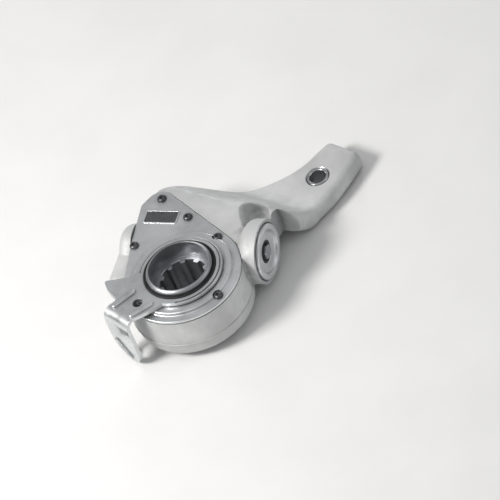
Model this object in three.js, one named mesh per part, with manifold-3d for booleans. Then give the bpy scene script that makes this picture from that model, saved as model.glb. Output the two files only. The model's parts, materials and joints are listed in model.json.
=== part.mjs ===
// Automatic slack adjuster for an S-cam drum brake: cast lever housing, worm wheel with splined
// bore, worm line with one-way clutch, rack driven by the control arm's disc, cover, seals and
// fasteners.
//
// Lever frame, millimetres: the worm wheel axis is Z, the cover side is up, the lever eye is on +X
// and the back face of the drum is at z = 0. The worm line runs 61.2 degrees clockwise from +X.
// The exported group is shifted so that the bottom centre of its bounding box is the origin.
import * as THREE from 'three';
import { mergeVertices } from 'three/addons/utils/BufferGeometryUtils.js';
import Module from 'manifold-3d';

const wasm = await Module();
wasm.setup();

// ---------------------------------------------------------------- driving dimensions
// Names ending in _Z are heights in the lever frame, _R are radii and _T are places along the
// worm line, measured from the point beside the wheel axis.
const DEG = Math.PI / 180;
const ABOVE = 60;                // heights clear of every part, for cuts that run out
const BELOW = -20;

const EYE_X = 152.4;             // wheel axis to clevis pin axis: 6 inch lever
const EYE_R = 7.05;              // bore of the lever bushing
const BUSH_R = 9.6;              // outside of the lever bushing
const TIP_TOP_Z = 12.4;          // faces of the lever around the eye
const TIP_BOTTOM_Z = -6;

const DRUM_R = 51.2;             // machined rim of the housing, at the cover
const DRUM_MID_R = 53.3;         // housing at its parting line
const PARTING_Z = 14.5;
const BODY_TOP_Z = 39.8;         // cover seat
const COVER_BOTTOM_Z = 40.5;
const COVER_TOP_Z = 43;
const COVER_HUB_Z = 45.5;
// rounded corners of the cover's apex: x, y, radius
const COVER_LOBES = [[8, 62, 6.3], [37.2, 81.2, 6], [45.5, 74.8, 12.3]];

const SCREW_PLACES = [[49.6, 75.8], [47.2, 40.8], [0.1, 59.5], [45.3, 1.8], [0.3, -45.1], [-45.1, 5.8]];
const SCREW_HEAD_R = 4;
const SCREW_HEAD_HEIGHT = 2.6;
const SCREW_R = 2.45;
const SCREW_HOLE_R = 2.8;
const SCREW_TIP_Z = 37.1;

const PRESSURE_ANGLE = 20 * DEG;
const WHEEL_TEETH = 24;
const WORM_DISTANCE = 41.4;      // wheel axis to worm axis
const WORM_Z = 24.8;
const WORM_ANGLE = -61.2 * DEG;  // direction of the worm line in plan
const WORM_PITCH_R = 8;
const WORM_ADDENDUM = 2.2;
const WORM_DEDENDUM = 2.7;
const WHEEL_PITCH_R = WORM_DISTANCE - WORM_PITCH_R;
const WHEEL_MODULE = 2 * WHEEL_PITCH_R / WHEEL_TEETH;
const WHEEL_TIP_R = WHEEL_PITCH_R + 2.25;
const WHEEL_ROOT_R = WHEEL_PITCH_R - 2.75;
const WORM_LEAD = Math.PI * WHEEL_MODULE;                 // single start, right hand

const BORE_R = 10.9;             // worm bore of the housing
const SPRING_BORE_R = 14.2;
const SPRING_BORE_T = 30;
const CAP_BORE_R = 23.95;
const CAP_BORE_T = 50;
const CAP_R = 23.6;

const PINION_TEETH = 12;
const PINION_MODULE = 1.5;
const PINION_PITCH_R = PINION_TEETH * PINION_MODULE / 2;
const RACK_Z = WORM_Z + PINION_PITCH_R;                   // pitch line of the rack
// clear space of the rack in plan, in the rack frame
const RACK_CHANNEL = { x0: -19, x1: 74, y0: 37.4, y1: 48.7 };

const DISC_R = 38;
const DISC_BOTTOM_Z = 34.4;
const DISC_TOP_Z = 37.4;
const DISC_HUB_IN_R = 29.3;
const DISC_HUB_OUT_R = 31.4;
const ARM_BOTTOM_Z = 46.1;
const ARM_TOP_Z = 49.6;

// ---------------------------------------------------------------- frames
const alongWorm = new THREE.Vector3(Math.cos(WORM_ANGLE), Math.sin(WORM_ANGLE), 0);
const acrossWorm = new THREE.Vector3(-alongWorm.y, alongWorm.x, 0);  // away from the wheel axis
const acrossAngle = Math.atan2(acrossWorm.y, acrossWorm.x);

// worm frame: x away from the wheel axis, y up, z along the worm line
const wormMatrix = new THREE.Matrix4()
  .makeBasis(acrossWorm, new THREE.Vector3(0, 0, 1), alongWorm)
  .setPosition(acrossWorm.x * WORM_DISTANCE, acrossWorm.y * WORM_DISTANCE, WORM_Z);
// rack frame: x across the worm line, y against it, z up, origin on the wheel axis
const rackMatrix = new THREE.Matrix4()
  .makeBasis(acrossWorm, alongWorm.clone().negate(), new THREE.Vector3(0, 0, 1));
// carries x to Y, y to Z and z to X
const zToX = new THREE.Matrix4().makeBasis(
  new THREE.Vector3(0, 1, 0), new THREE.Vector3(0, 0, 1), new THREE.Vector3(1, 0, 0));

// point in plan, from its distances along and across the worm line
const planPoint = (along, across) => [
  alongWorm.x * along + acrossWorm.x * across,
  alongWorm.y * along + acrossWorm.y * across];

// ---------------------------------------------------------------- solids and meshes
// closed indexed mesh with outward faces and no degenerate triangles
function weld(source) {
  let geometry = source.clone();
  for (const key of Object.keys(geometry.attributes)) {
    if (key !== 'position') geometry.deleteAttribute(key);
  }
  geometry = mergeVertices(geometry, 1e-4);
  const position = geometry.attributes.position;
  const index = [];
  const corners = [new THREE.Vector3(), new THREE.Vector3(), new THREE.Vector3()];
  let volume = 0;
  for (let i = 0; i < geometry.index.count; i += 3) {
    const triangle = [0, 1, 2].map((k) => geometry.index.getX(i + k));
    if (new Set(triangle).size < 3) continue;
    corners.forEach((corner, k) => corner.fromBufferAttribute(position, triangle[k]));
    volume += corners[0].dot(corners[1].cross(corners[2]));
    index.push(...triangle);
  }
  if (volume < 0) {
    for (let i = 0; i < index.length; i += 3) [index[i], index[i + 1]] = [index[i + 1], index[i]];
  }
  geometry.setIndex(index);
  return geometry;
}

function toSolid(shape) {
  if (!shape.isBufferGeometry) return shape;
  const geometry = weld(shape);
  return new wasm.Manifold(new wasm.Mesh({
    numProp: 3,
    vertProperties: new Float32Array(geometry.attributes.position.array),
    triVerts: new Uint32Array(geometry.index.array),
  }));
}

function toGeometry(shape) {
  if (shape.isBufferGeometry) return shape;
  const mesh = shape.getMesh();
  const geometry = new THREE.BufferGeometry();
  const positions = new Float32Array(mesh.vertProperties);
  geometry.setAttribute('position', new THREE.BufferAttribute(positions, 3));
  geometry.setIndex(new THREE.BufferAttribute(new Uint32Array(mesh.triVerts), 1));
  return geometry;
}

const union = (...shapes) => shapes.map(toSolid).reduce((sum, next) => sum.add(next));
const cut = (...shapes) => shapes.map(toSolid).reduce((rest, tool) => rest.subtract(tool));

// ---------------------------------------------------------------- plane outlines
const polar = (radius, angle) => [radius * Math.cos(angle), radius * Math.sin(angle)];

function arc(cx, cy, radius, from, to, segments) {
  return Array.from({ length: segments + 1 }, (_, i) => {
    const [x, y] = polar(radius, from + (to - from) * i / segments);
    return [cx + x, cy + y];
  });
}

const circle = (cx, cy, radius, count, phase = 0) =>
  arc(cx, cy, radius, phase, phase + 2 * Math.PI, count).slice(0, -1);

// half circles about two points, joined by straight sides
function slotOutline([ax, ay], [bx, by], radius) {
  const angle = Math.atan2(by - ay, bx - ax);
  const quarter = Math.PI / 2;
  return [
    ...arc(ax, ay, radius, angle + quarter, angle + 3 * quarter, 6),
    ...arc(bx, by, radius, angle - quarter, angle + quarter, 6)];
}

// rectangle about the origin with rounded corners
function roundedRect(width, height, radius, segments) {
  return [[1, 1], [-1, 1], [-1, -1], [1, -1]].flatMap(([sx, sy], corner) => arc(
    sx * (width / 2 - radius), sy * (height / 2 - radius), radius,
    90 * corner * DEG, 90 * (corner + 1) * DEG, segments));
}

// convex hull, counter-clockwise
function hull(points) {
  const sorted = points.slice().sort((a, b) => a[0] - b[0] || a[1] - b[1]);
  const turn = (o, a, b) => (a[0] - o[0]) * (b[1] - o[1]) - (a[1] - o[1]) * (b[0] - o[0]);
  const halfHull = (list) => {
    const kept = [];
    for (const point of list) {
      while (kept.length > 1 && turn(kept.at(-2), kept.at(-1), point) <= 1e-9) kept.pop();
      kept.push(point);
    }
    kept.pop();
    return kept;
  };
  return [...halfHull(sorted), ...halfHull(sorted.reverse())];
}

// involute gear outline; thickness is that of the teeth on the pitch circle
function gearOutline({ teeth, pitchRadius, tipRadius, rootRadius, thickness, phase }) {
  const baseRadius = pitchRadius * Math.cos(PRESSURE_ANGLE);
  const involute = (radius) => {
    const angle = Math.acos(Math.min(1, baseRadius / radius));
    return Math.tan(angle) - angle;
  };
  const halfAngle = (radius) =>
    thickness / 2 / pitchRadius + involute(pitchRadius) - involute(radius);
  const startRadius = Math.max(baseRadius, rootRadius + 0.25);
  const rootSpread = 0.06;       // extra half angle at the root, radians
  const flank = [
    [rootRadius, halfAngle(startRadius) + rootSpread],
    [startRadius, halfAngle(startRadius)],
    [tipRadius, halfAngle(tipRadius)]];
  const points = [];
  for (let k = 0; k < teeth; k++) {
    const centre = phase + 2 * Math.PI * k / teeth;
    for (const [radius, half] of flank) points.push(polar(radius, centre - half));
    for (const [radius, half] of flank.toReversed()) points.push(polar(radius, centre + half));
  }
  return points;
}

// ---------------------------------------------------------------- basic bodies
const shapeOf = (points) => new THREE.Shape(points.map(([x, y]) => new THREE.Vector2(x, y)));

// profile [[radius, z], ...] turned about Z
function revolve(profile, segments) {
  const points = profile.map(([radius, z]) => new THREE.Vector2(radius, z));
  return new THREE.LatheGeometry(points, segments).rotateX(Math.PI / 2);
}

const ring = (inner, outer, z0, z1, segments) =>
  revolve([[inner, z0], [outer, z0], [outer, z1], [inner, z1], [inner, z0]], segments);

const rod = (radius, z0, z1, segments) =>
  revolve([[0, z0], [radius, z0], [radius, z1], [0, z1]], segments);

function oRing(radius, z, wireRadius) {
  const section = circle(radius, z, wireRadius, 6);
  return revolve([...section, section[0]], 40);
}

function prism(points, z0, z1, { steps = 1, holes = [] } = {}) {
  const shape = shapeOf(points);
  shape.holes.push(...holes.map(shapeOf));
  const options = { depth: z1 - z0, steps, bevelEnabled: false };
  return new THREE.ExtrudeGeometry(shape, options).translate(0, 0, z0);
}

// outline in x and z, extruded along y
const prismAlongY = (points, y0, y1) => prism(points, -y1, -y0).rotateX(Math.PI / 2);

const box = ([x0, x1], [y0, y1], [z0, z1]) =>
  new THREE.BoxGeometry(x1 - x0, y1 - y0, z1 - z0)
    .translate((x0 + x1) / 2, (y0 + y1) / 2, (z0 + z1) / 2);

// move every vertex to the point that move(x, y, z) returns
function mapPoints(geometry, move) {
  const position = geometry.attributes.position;
  for (let i = 0; i < position.count; i++) {
    position.setXYZ(i, ...move(position.getX(i), position.getY(i), position.getZ(i)));
  }
  return geometry;
}

// stack of copies of an outline; move(x, y, layer) gives the place of each point
const loft = (points, layerCount, move) => mapPoints(
  prism(points, 0, layerCount - 1, { steps: layerCount - 1 }),
  (x, y, z) => move(x, y, Math.round(z)));

// slot-shaped body; layers are [outset, z]
function slotLoft(endA, endB, radius, layers) {
  return loft(slotOutline(endA, endB, radius), layers.length, (x, y, layer) => {
    const [outset, z] = layers[layer];
    const distanceTo = ([ex, ey]) => Math.hypot(x - ex, y - ey);
    const [cx, cy] = distanceTo(endA) < distanceTo(endB) ? endA : endB;
    const scale = (radius + outset) / radius;
    return [cx + (x - cx) * scale, cy + (y - cy) * scale, z];
  });
}

// hull of circles [x, y, radius] as a prism with rounded top and bottom edges
function pillow(circles, z0, z1) {
  const edge = 9;
  const edgeSteps = 3;
  const pointCount = 40;
  const layers = [];             // inset, z
  for (let i = 0; i <= edgeSteps; i++) {
    const angle = (i / edgeSteps) * Math.PI / 2;
    layers.push([edge * (1 - Math.sin(angle)), z0 + edge * (1 - Math.cos(angle))]);
  }
  for (let i = 0; i <= edgeSteps; i++) {
    const angle = (i / edgeSteps) * Math.PI / 2;
    layers.push([edge * (1 - Math.cos(angle)), z1 - edge * (1 - Math.sin(angle))]);
  }
  // support points of the hull by direction, so that every layer has the same number of points
  const outlineAt = (inset) => Array.from({ length: pointCount }, (_, k) => {
    const [ux, uy] = polar(1, 2 * Math.PI * (k + 0.5) / pointCount);
    let farthest = -Infinity;
    let point = null;
    for (const [cx, cy, radius] of circles) {
      const reach = cx * ux + cy * uy + (radius - inset);
      if (reach > farthest) {
        farthest = reach;
        point = [cx + (radius - inset) * ux, cy + (radius - inset) * uy];
      }
    }
    return point;
  });
  const base = outlineAt(0);
  const outlines = layers.map(([inset]) => outlineAt(inset));
  return loft(base, layers.length, (x, y, layer) => {
    const distances = base.map(([bx, by]) => Math.hypot(bx - x, by - y));
    const nearest = distances.indexOf(Math.min(...distances));
    return [...outlines[layer][nearest], layers[layer][1]];
  });
}

// turn each section about Z in proportion to its height above zeroZ
const twist = (geometry, radiansPerMm, zeroZ) => mapPoints(geometry, (x, y, z) => {
  const angle = radiansPerMm * (z - zeroZ);
  const cos = Math.cos(angle);
  const sin = Math.sin(angle);
  return [x * cos - y * sin, x * sin + y * cos, z];
});

class Helix extends THREE.Curve {
  constructor(radius, z0, z1, turns) {
    super();
    Object.assign(this, { radius, z0, z1, turns });
  }
  getPoint(t, out = new THREE.Vector3()) {
    const [x, y] = polar(this.radius, 2 * Math.PI * this.turns * t);
    return out.set(x, y, this.z0 + (this.z1 - this.z0) * t);
  }
}

// helical spring about Z; z0 and z1 are its outer ends
function coil({ radius, wire, z0, z1, turns, stepsPerTurn, sides }) {
  return new THREE.ExtrudeGeometry(shapeOf(circle(0, 0, wire, sides)), {
    steps: turns * stepsPerTurn,
    bevelEnabled: false,
    extrudePath: new Helix(radius, z0 + wire, z1 - wire, turns),
  });
}

// ---------------------------------------------------------------- lever of the housing
// Lofted along u, 14.3 degrees counter-clockwise from +X; v is 90 degrees further on.
const LEVER_ANGLE = 14.3 * DEG;
const NECK_TOP_Z = 42.5;
// top line: flat, convex arc, straight slope, concave arc, flat
const LEVER_TOP = { slope: 47.5 * DEG, startU: 70, convexR: 32, concaveR: 20, endU: 121 };
// bottom line: u, z
const LEVER_BOTTOM = [
  [50, 3], [62, 5.5], [72, 10], [80, 12.2], [85, 11.8], [90, 9.2], [96, 3.8],
  [101, -0.8], [106, -4], [112, -5.7], [118, TIP_BOTTOM_Z], [200, TIP_BOTTOM_Z]];
// stations: u, lower v edge, upper v edge
const LEVER_STATIONS = [
  [48, -20, 60], [56, -24, 66], [64, -28, 71], [70, -31, 73.5], [75, -36, 73.5],
  [79, -40.5, 72], [83, -44.5, 69], [87, -47.6, 64.6], [91, -49.6, 59], [95, -51, 52.5],
  [99, -52, 45], [103, -52.8, 37.8], [107, -53.3, 30.8], [111, -53.8, 24.2],
  [115, -54.2, 18.2], [119, -54.8, 12.8], [123, -55.8, 8], [128, -57.2, 2.2],
  [134, -58.4, -3.6], [140, -59, -8.6], [146, -59.5, -12.6], [152, -59.8, -15.6],
  [158, -60.1, -17.9], [165, -60.3, -19.6], [171, -60.3, -21.0], [178.9, -60.0, -23.6]];

function leverTop(u) {
  const { slope, startU, convexR, concaveR, endU } = LEVER_TOP;
  const slopeStartU = startU + convexR * Math.sin(slope);
  const slopeEndU = endU - concaveR * Math.sin(slope);
  if (u <= startU) return NECK_TOP_Z;
  if (u <= slopeStartU) return NECK_TOP_Z - convexR + Math.sqrt(convexR ** 2 - (u - startU) ** 2);
  if (u <= slopeEndU) {
    const slopeTopZ = NECK_TOP_Z - convexR * (1 - Math.cos(slope));
    const slopeFootZ = TIP_TOP_Z + concaveR * (1 - Math.cos(slope));
    return THREE.MathUtils.mapLinear(u, slopeStartU, slopeEndU, slopeTopZ, slopeFootZ);
  }
  if (u <= endU) return TIP_TOP_Z + concaveR - Math.sqrt(concaveR ** 2 - (endU - u) ** 2);
  return TIP_TOP_Z;
}

function leverBottom(u) {
  const next = LEVER_BOTTOM.findIndex(([stationU]) => u <= stationU);
  if (next === 0) return LEVER_BOTTOM[0][1];
  const [u0, z0] = LEVER_BOTTOM[next - 1];
  const [u1, z1] = LEVER_BOTTOM[next];
  return THREE.MathUtils.mapLinear(u, u0, u1, z0, z1);
}

function makeLever() {
  const sectionCorner = 6.2;     // corner radius of the sections
  const endEdge = 6;             // edge radius of the end face
  const endLayers = 3;
  const last = LEVER_STATIONS.length - 1;
  // unit section: corner arcs of radius 1 about (+-2, +-2), later spread to the real edges
  const section = roundedRect(6, 6, 1, 3);
  return loft(section, LEVER_STATIONS.length + endLayers, (x, y, layer) => {
    const arcX = x - 2 * Math.sign(x);
    const arcY = y - 2 * Math.sign(y);
    // the layers after the last station turn the end face over
    const [stationU, lowV, highV] = LEVER_STATIONS[Math.min(layer, last)];
    const turn = (90 / endLayers) * Math.max(0, layer - last) * DEG;
    const inset = endEdge * (1 - Math.cos(turn));
    const radius = sectionCorner - inset;
    const v = (x > 0 ? highV - inset - radius : lowV + inset + radius) + radius * arcX;
    // skew the outer stations, so that the end is square to its own direction
    const skew = 0.09 * (v + 40) * THREE.MathUtils.clamp((stationU - 120) / 30, 0, 1);
    const u = stationU + endEdge * Math.sin(turn) + skew;
    const cornerZ = y > 0 ? leverTop(u) - inset - radius : leverBottom(u) + inset + radius;
    const cos = Math.cos(LEVER_ANGLE);
    const sin = Math.sin(LEVER_ANGLE);
    return [u * cos - v * sin, u * sin + v * cos, cornerZ + radius * arcY];
  });
}

// ---------------------------------------------------------------- housing
const TROUGH = {                 // trough in the neck, beside the shank of the boss
  ends: [[73.4, -20], [88, 2]],
  radius: 10.5,
  // outset, z
  layers: [[-3.5, 20], [-1, 21], [0, 24], [0, 36], [0.9, 39.6], [3.2, 42.6], [3.2, ABOVE]],
};
const BOSS_R = 27.3;             // boss of the end cap
const BOSS_T = 58.8;

// hull of the drum rim and the lobes at the apex
const coverOutline = (grow) =>
  hull([[0, 0, DRUM_R], ...COVER_LOBES].flatMap(([x, y, r]) => circle(x, y, r + grow, 56)));

const screwHoles = (radius, z0, segments) =>
  SCREW_PLACES.map(([x, y]) => rod(radius, z0, ABOVE, segments).translate(x, y, 0));

// space of the rack, and its opening towards the control disc
const rackOpenings = (clearance, channelZ, openingZ) => [
  box(
    [RACK_CHANNEL.x0 - clearance, RACK_CHANNEL.x1 + clearance],
    [RACK_CHANNEL.y0 - clearance, RACK_CHANNEL.y1 + clearance], [channelZ, ABOVE]),
  box([-13, 17], [31, 40], [openingZ, ABOVE]),
].map((opening) => opening.applyMatrix4(rackMatrix));

function makeDrum() {
  return revolve([
    [0, 0], [47.2, 0], [49.6, 0.7], [51.2, 2.4], [52.2, 6],
    [DRUM_MID_R, PARTING_Z], [DRUM_R, BODY_TOP_Z], [0, BODY_TOP_Z]], 56);
}

function makeBoss() {
  return revolve([
    [0, -22], [17.4, -22], [17.4, 39.6], [19.4, 41.2], [23, 42.8], [25.8, 45.4], [BOSS_R, 49],
    [BOSS_R, BOSS_T - 1.6], [BOSS_R - 1.4, BOSS_T], [0, BOSS_T]], 36).applyMatrix4(wormMatrix);
}

// closed end of the worm bore, opposite the boss
function makeTube() {
  return revolve([
    [0, -70], [13, -70], [18, -68], [20.6, -63], [20.6, -26], [17.4, -20], [0, -20],
  ], 28).applyMatrix4(wormMatrix);
}

// worm bore, spring bore and bore of the end cap
function wormBoreCut() {
  return revolve([
    [0, -60], [BORE_R, -60], [BORE_R, SPRING_BORE_T], [SPRING_BORE_R, SPRING_BORE_T],
    [SPRING_BORE_R, CAP_BORE_T], [CAP_BORE_R, CAP_BORE_T], [CAP_BORE_R, 70], [0, 70],
  ], 36).applyMatrix4(wormMatrix);
}

function makeHousing() {
  const bodyBottom = 0.6;
  const nearDrum = [6, 4, 44];   // circle that ties block and neck to the drum
  const block = pillow(
    [[...planPoint(-60, 4), 11.5], [...planPoint(-57, 46), 14], nearDrum], bodyBottom, 36.5);
  const neck = pillow([[39, 76.5, 10.5], [44, 74, 13], nearDrum], bodyBottom, 41.4);
  const flange = prism(coverOutline(0), 14, BODY_TOP_Z);
  const casting = cut(
    union(makeDrum(), block, neck, flange, makeLever()),
    slotLoft(...TROUGH.ends, TROUGH.radius, TROUGH.layers));
  return cut(
    union(casting, makeBoss(), makeTube()),
    prism(coverOutline(0.5), BODY_TOP_Z, ABOVE),                     // cover seat
    rod(WHEEL_TIP_R + 1, 9, ABOVE, 44),                              // wheel chamber
    rod(DISC_R + 1, DISC_BOTTOM_Z - 0.5, ABOVE, 48),                 // disc chamber
    rod(27.4, BELOW, 20, 44),                                        // back opening
    rod(31, BELOW, 4.7, 44),                                         // seal seat
    wormBoreCut(),
    ...rackOpenings(0, 29.8, DISC_BOTTOM_Z - 0.5),
    ...screwHoles(SCREW_HOLE_R, SCREW_TIP_Z - 0.3, 12),
    rod(BUSH_R + 0.12, BELOW, ABOVE, 32).translate(EYE_X, 0, 0));    // lever eye
}

const makeLeverBushing = () => ring(EYE_R, BUSH_R, TIP_BOTTOM_Z - 0.2, TIP_TOP_Z + 0.25, 32);
const makeHousingSeal = () => ring(26.9, 30.6, 0.9, 4.3, 44);

// ---------------------------------------------------------------- cover, gasket, screws, label
function makeCover() {
  const holeRadius = 32;
  const hubInner = 30;           // inside the hole, which trims it
  const hub = revolve([
    [hubInner, COVER_BOTTOM_Z], [44.9, COVER_BOTTOM_Z], [44.9, COVER_TOP_Z],
    [43.2, COVER_HUB_Z], [hubInner, COVER_HUB_Z], [hubInner, COVER_BOTTOM_Z]], 56);
  const hollowTop = COVER_HUB_Z - 2.4;
  const hollow = revolve([[0, 30], [41.8, 30], [40.6, hollowTop], [0, hollowTop]], 48);
  return cut(
    union(prism(coverOutline(0), COVER_BOTTOM_Z, COVER_TOP_Z), hub),
    rod(holeRadius, BELOW, ABOVE, 56),
    hollow,
    ...screwHoles(SCREW_HOLE_R, BELOW, 12),
    ...screwHoles(SCREW_HEAD_R + 0.4, COVER_TOP_Z, 14));
}

function makeGasket() {
  return cut(
    prism(coverOutline(-0.4), BODY_TOP_Z + 0.1, COVER_BOTTOM_Z - 0.1),
    rod(DISC_R + 1.4, BELOW, ABOVE, 40),
    ...rackOpenings(0.4, BELOW, BELOW),
    ...screwHoles(SCREW_HOLE_R + 0.1, BELOW, 10));
}

// button head with a hexagon socket; the cover's top is at z = 0
function makeScrew() {
  const tip = SCREW_TIP_Z - COVER_TOP_Z;
  const seat = 0.12;
  const socketRadius = 1.85;
  const screw = revolve([
    [0, tip], [SCREW_R, tip], [SCREW_R, seat], [SCREW_HEAD_R, seat], [SCREW_HEAD_R, 1.2],
    [2.9, SCREW_HEAD_HEIGHT], [0, SCREW_HEAD_HEIGHT]], 14);
  return cut(screw, prism(circle(0, 0, socketRadius, 6), 1, 4));
}

const makeLabel = () => prism(roundedRect(31, 14, 1.6, 4), 0, 0.45);

// ---------------------------------------------------------------- worm wheel
const SPLINE = { minorR: 18, majorR: 21, grooves: 10, grooveWidth: 7.4, phase: 67 * DEG };
const WHEEL_FACE_WIDTH = 14;
// outside of the hub: radius, z; the notch at z 44.2 to 46.4 holds the O-ring
const WHEEL_HUB = [
  [0, 0.8], [25.6, 0.8], [26.6, 1.8], [26.6, 9.3], [28.7, 9.3], [28.7, 44.2], [27.3, 44.6],
  [27.3, 46], [28.7, 46.4], [28.7, 51.9], [28.1, 52.5], [26.2, 54], [0, 54]];
// counterbore for the washer and circlip of the camshaft: radius, z
const WHEEL_COUNTERBORE = [[0, 38], [24.6, 38], [25, 49.5], [25.6, 54.5], [0, 54.5]];

function makeWheel() {
  const outline = gearOutline({
    teeth: WHEEL_TEETH,
    pitchRadius: WHEEL_PITCH_R,
    tipRadius: WHEEL_TIP_R,
    rootRadius: WHEEL_ROOT_R,
    thickness: 3.85,
    phase: Math.PI / WHEEL_TEETH + acrossAngle,           // a tooth space faces the worm
  });
  const halfFace = WHEEL_FACE_WIDTH / 2;
  const blank = prism(outline, WORM_Z - halfFace, WORM_Z + halfFace, { steps: 2 });
  const helixTwist = WORM_LEAD / (2 * Math.PI * WORM_PITCH_R) / WHEEL_PITCH_R;
  const halfGroove = SPLINE.grooveWidth / 2;
  const grooves = Array.from({ length: SPLINE.grooves }, (_, k) =>
    box([10, SPLINE.majorR], [-halfGroove, halfGroove], [BELOW, ABOVE])
      .rotateZ(SPLINE.phase + 2 * Math.PI * k / SPLINE.grooves));
  return cut(
    union(twist(blank, helixTwist, WORM_Z), revolve(WHEEL_HUB, 44)),
    rod(SPLINE.minorR, BELOW, ABOVE, 40),
    ...grooves,
    revolve(WHEEL_COUNTERBORE, 44));
}

const makeWheelORing = () => oRing(28.25, 45.3, 0.68);

// ---------------------------------------------------------------- worm line, in the worm frame
const WORM_SHAFT_R = 5;
const SLEEVE_BORE_R = 5.35;      // parts that run on the thin end of the shaft
const DOG_COUNT = 12;            // face teeth between worm and clutch ring
// shaft with its collars: radius, z
const WORM_SHAFT = [
  [0, -57], [4.4, -57], [WORM_SHAFT_R, -56.4], [WORM_SHAFT_R, -19.7], [BORE_R - 0.6, -19.7],
  [BORE_R - 0.6, -18.3], [WORM_SHAFT_R, -17.6], [WORM_SHAFT_R, 16.4], [9.6, 18.4], [9.6, 30.6],
  [6.4, 30.7], [6.4, 51.5], [0, 51.5]];
// radius, z
const CLUTCH_RING = [
  [5.3, -32.6], [6.9, -32.6], [6.9, -28.4], [BORE_R - 0.5, -28.4], [BORE_R - 0.5, -21.9],
  [5.3, -21.9], [5.3, -32.6]];
// radius, z
const END_CAP = [
  [7.6, 53.6], [12, 50.4], [CAP_R, 50.4], [CAP_R, 52.6], [21.8, 53], [21.8, 55], [CAP_R, 55.4],
  [CAP_R, 60], [22.8, 60.8], [18.6, 60.8], [17.4, 58.2], [9.6, 58.2], [9.6, 56.2], [7.6, 56.2],
  [7.6, 53.6]];

function dogTeeth({ innerRadius, phase, halfAngle, z0, z1 }) {
  const outerRadius = BORE_R - 0.7;
  return Array.from({ length: DOG_COUNT }, (_, k) => {
    const centre = 360 / DOG_COUNT * k + phase;
    const from = (centre - halfAngle) * DEG;
    const to = (centre + halfAngle) * DEG;
    return prism([
      polar(outerRadius, from), polar(outerRadius, to),
      polar(innerRadius, to), polar(innerRadius, from)], z0, z1);
  });
}

// cross-section of a single-start trapezoidal thread, turned once per lead along the axis
function makeWormThread() {
  const thickness = 3.5;         // of the thread on the pitch line
  const halfLength = 16.2;
  const stepsPerTurn = 12;
  const slope = Math.tan(PRESSURE_ANGLE);
  // half widths of crest and root, as fractions of the lead
  const crest = (thickness / 2 - WORM_ADDENDUM * slope) / WORM_LEAD;
  const root = (thickness / 2 + WORM_DEDENDUM * slope) / WORM_LEAD;
  const stops = [
    -0.5, -0.42, -root, -0.27, -0.2, -0.14, -crest, 0, crest, 0.14, 0.2, 0.27, root, 0.42];
  const section = stops.map((stop) => {
    const depth = THREE.MathUtils.clamp((Math.abs(stop) - crest) / (root - crest), 0, 1);
    const radius = WORM_PITCH_R + WORM_ADDENDUM - (WORM_ADDENDUM + WORM_DEDENDUM) * depth;
    return polar(radius, 2 * Math.PI * stop);
  });
  const steps = Math.round(2 * halfLength / WORM_LEAD * stepsPerTurn);
  const blank = prism(section, -halfLength, halfLength, { steps });
  // at z = 0 the crest faces the wheel (local -x)
  return twist(blank, 2 * Math.PI / WORM_LEAD, 0).rotateZ(Math.PI);
}

function makeWorm() {
  const hexagon = prism(circle(0, 0, 6.45, 6, Math.PI / 6), 51, 60.2);
  const dogs = dogTeeth({ innerRadius: 6.2, phase: 0, halfAngle: 6.5, z0: -21.3, z1: -19.2 });
  const centreHole = revolve([[0, 58.2], [1.9, 60.4], [0, 60.4]], 16);
  return cut(union(makeWormThread(), revolve(WORM_SHAFT, 24), hexagon, ...dogs), centreHole);
}

function makeClutchRing() {
  const dogs = dogTeeth({
    innerRadius: 6.3, phase: 180 / DOG_COUNT, halfAngle: 6, z0: -22.3, z1: -20.1 });
  return cut(union(revolve(CLUTCH_RING, 24), ...dogs), rod(SLEEVE_BORE_R, -40, 0, 24));
}

function makePinion() {
  const outline = gearOutline({
    teeth: PINION_TEETH,
    pitchRadius: PINION_PITCH_R,
    tipRadius: PINION_PITCH_R + 1.25,
    rootRadius: PINION_PITCH_R - 1.75,
    thickness: 2.1,
    phase: Math.PI / 2 + Math.PI / PINION_TEETH,          // a tooth space faces up (+y)
  });
  return cut(
    union(prism(outline, -48.9, -38.4), rod(6.9, -38.6, -33.2, 24)),
    rod(SLEEVE_BORE_R, -60, 0, 24));
}

const makeWormBush = () => ring(SLEEVE_BORE_R, BORE_R - 0.3, -58.6, -50.2, 28);

const makeOneWaySpring = () => coil({
  radius: 8.3, wire: 0.75, z0: -38.1, z1: -28.7, turns: 4, stepsPerTurn: 11, sides: 5 });

const makeClutchSpring = () => coil({
  radius: 10.6, wire: 2.3, z0: 37.7, z1: 50, turns: 2, stepsPerTurn: 18, sides: 7 });

// washer in the spring bore
const makeWasher = (z0, z1) => ring(6.8, SPRING_BORE_R - 0.5, z0, z1, 32);

// cage washer with radial rollers
function makeThrustBearing() {
  const rollerCount = 10;
  const roller = { radius: 1.15, length: 4.6, sides: 6, circleRadius: 10.6, z: 34.3 };
  const rollers = Array.from({ length: rollerCount }, (_, k) =>
    new THREE.CylinderGeometry(roller.radius, roller.radius, roller.length, roller.sides)
      .translate(0, roller.circleRadius, 0)
      .rotateZ(2 * Math.PI * k / rollerCount)
      .translate(0, 0, roller.z));
  return union(ring(7.4, SPRING_BORE_R - 0.6, 33.7, 34.9, 32), ...rollers);
}

const makeEndCap = () => revolve(END_CAP, 36);
const makeCapORing = () => oRing(22.85, 54, 0.8);
const makeAdjusterSeal = () => ring(6.75, 9.3, 56.5, 57.9, 28);

// ---------------------------------------------------------------- rack, in the rack frame
const RACK_TOP_Z = 39.6;
const RACK_X = [-3.5, 54.6];     // ends of the bar
const RACK_TOOTHED_X = [26, 53.5];
const RACK_SPRING = { y: 43.4, z: 35.6 };

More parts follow.
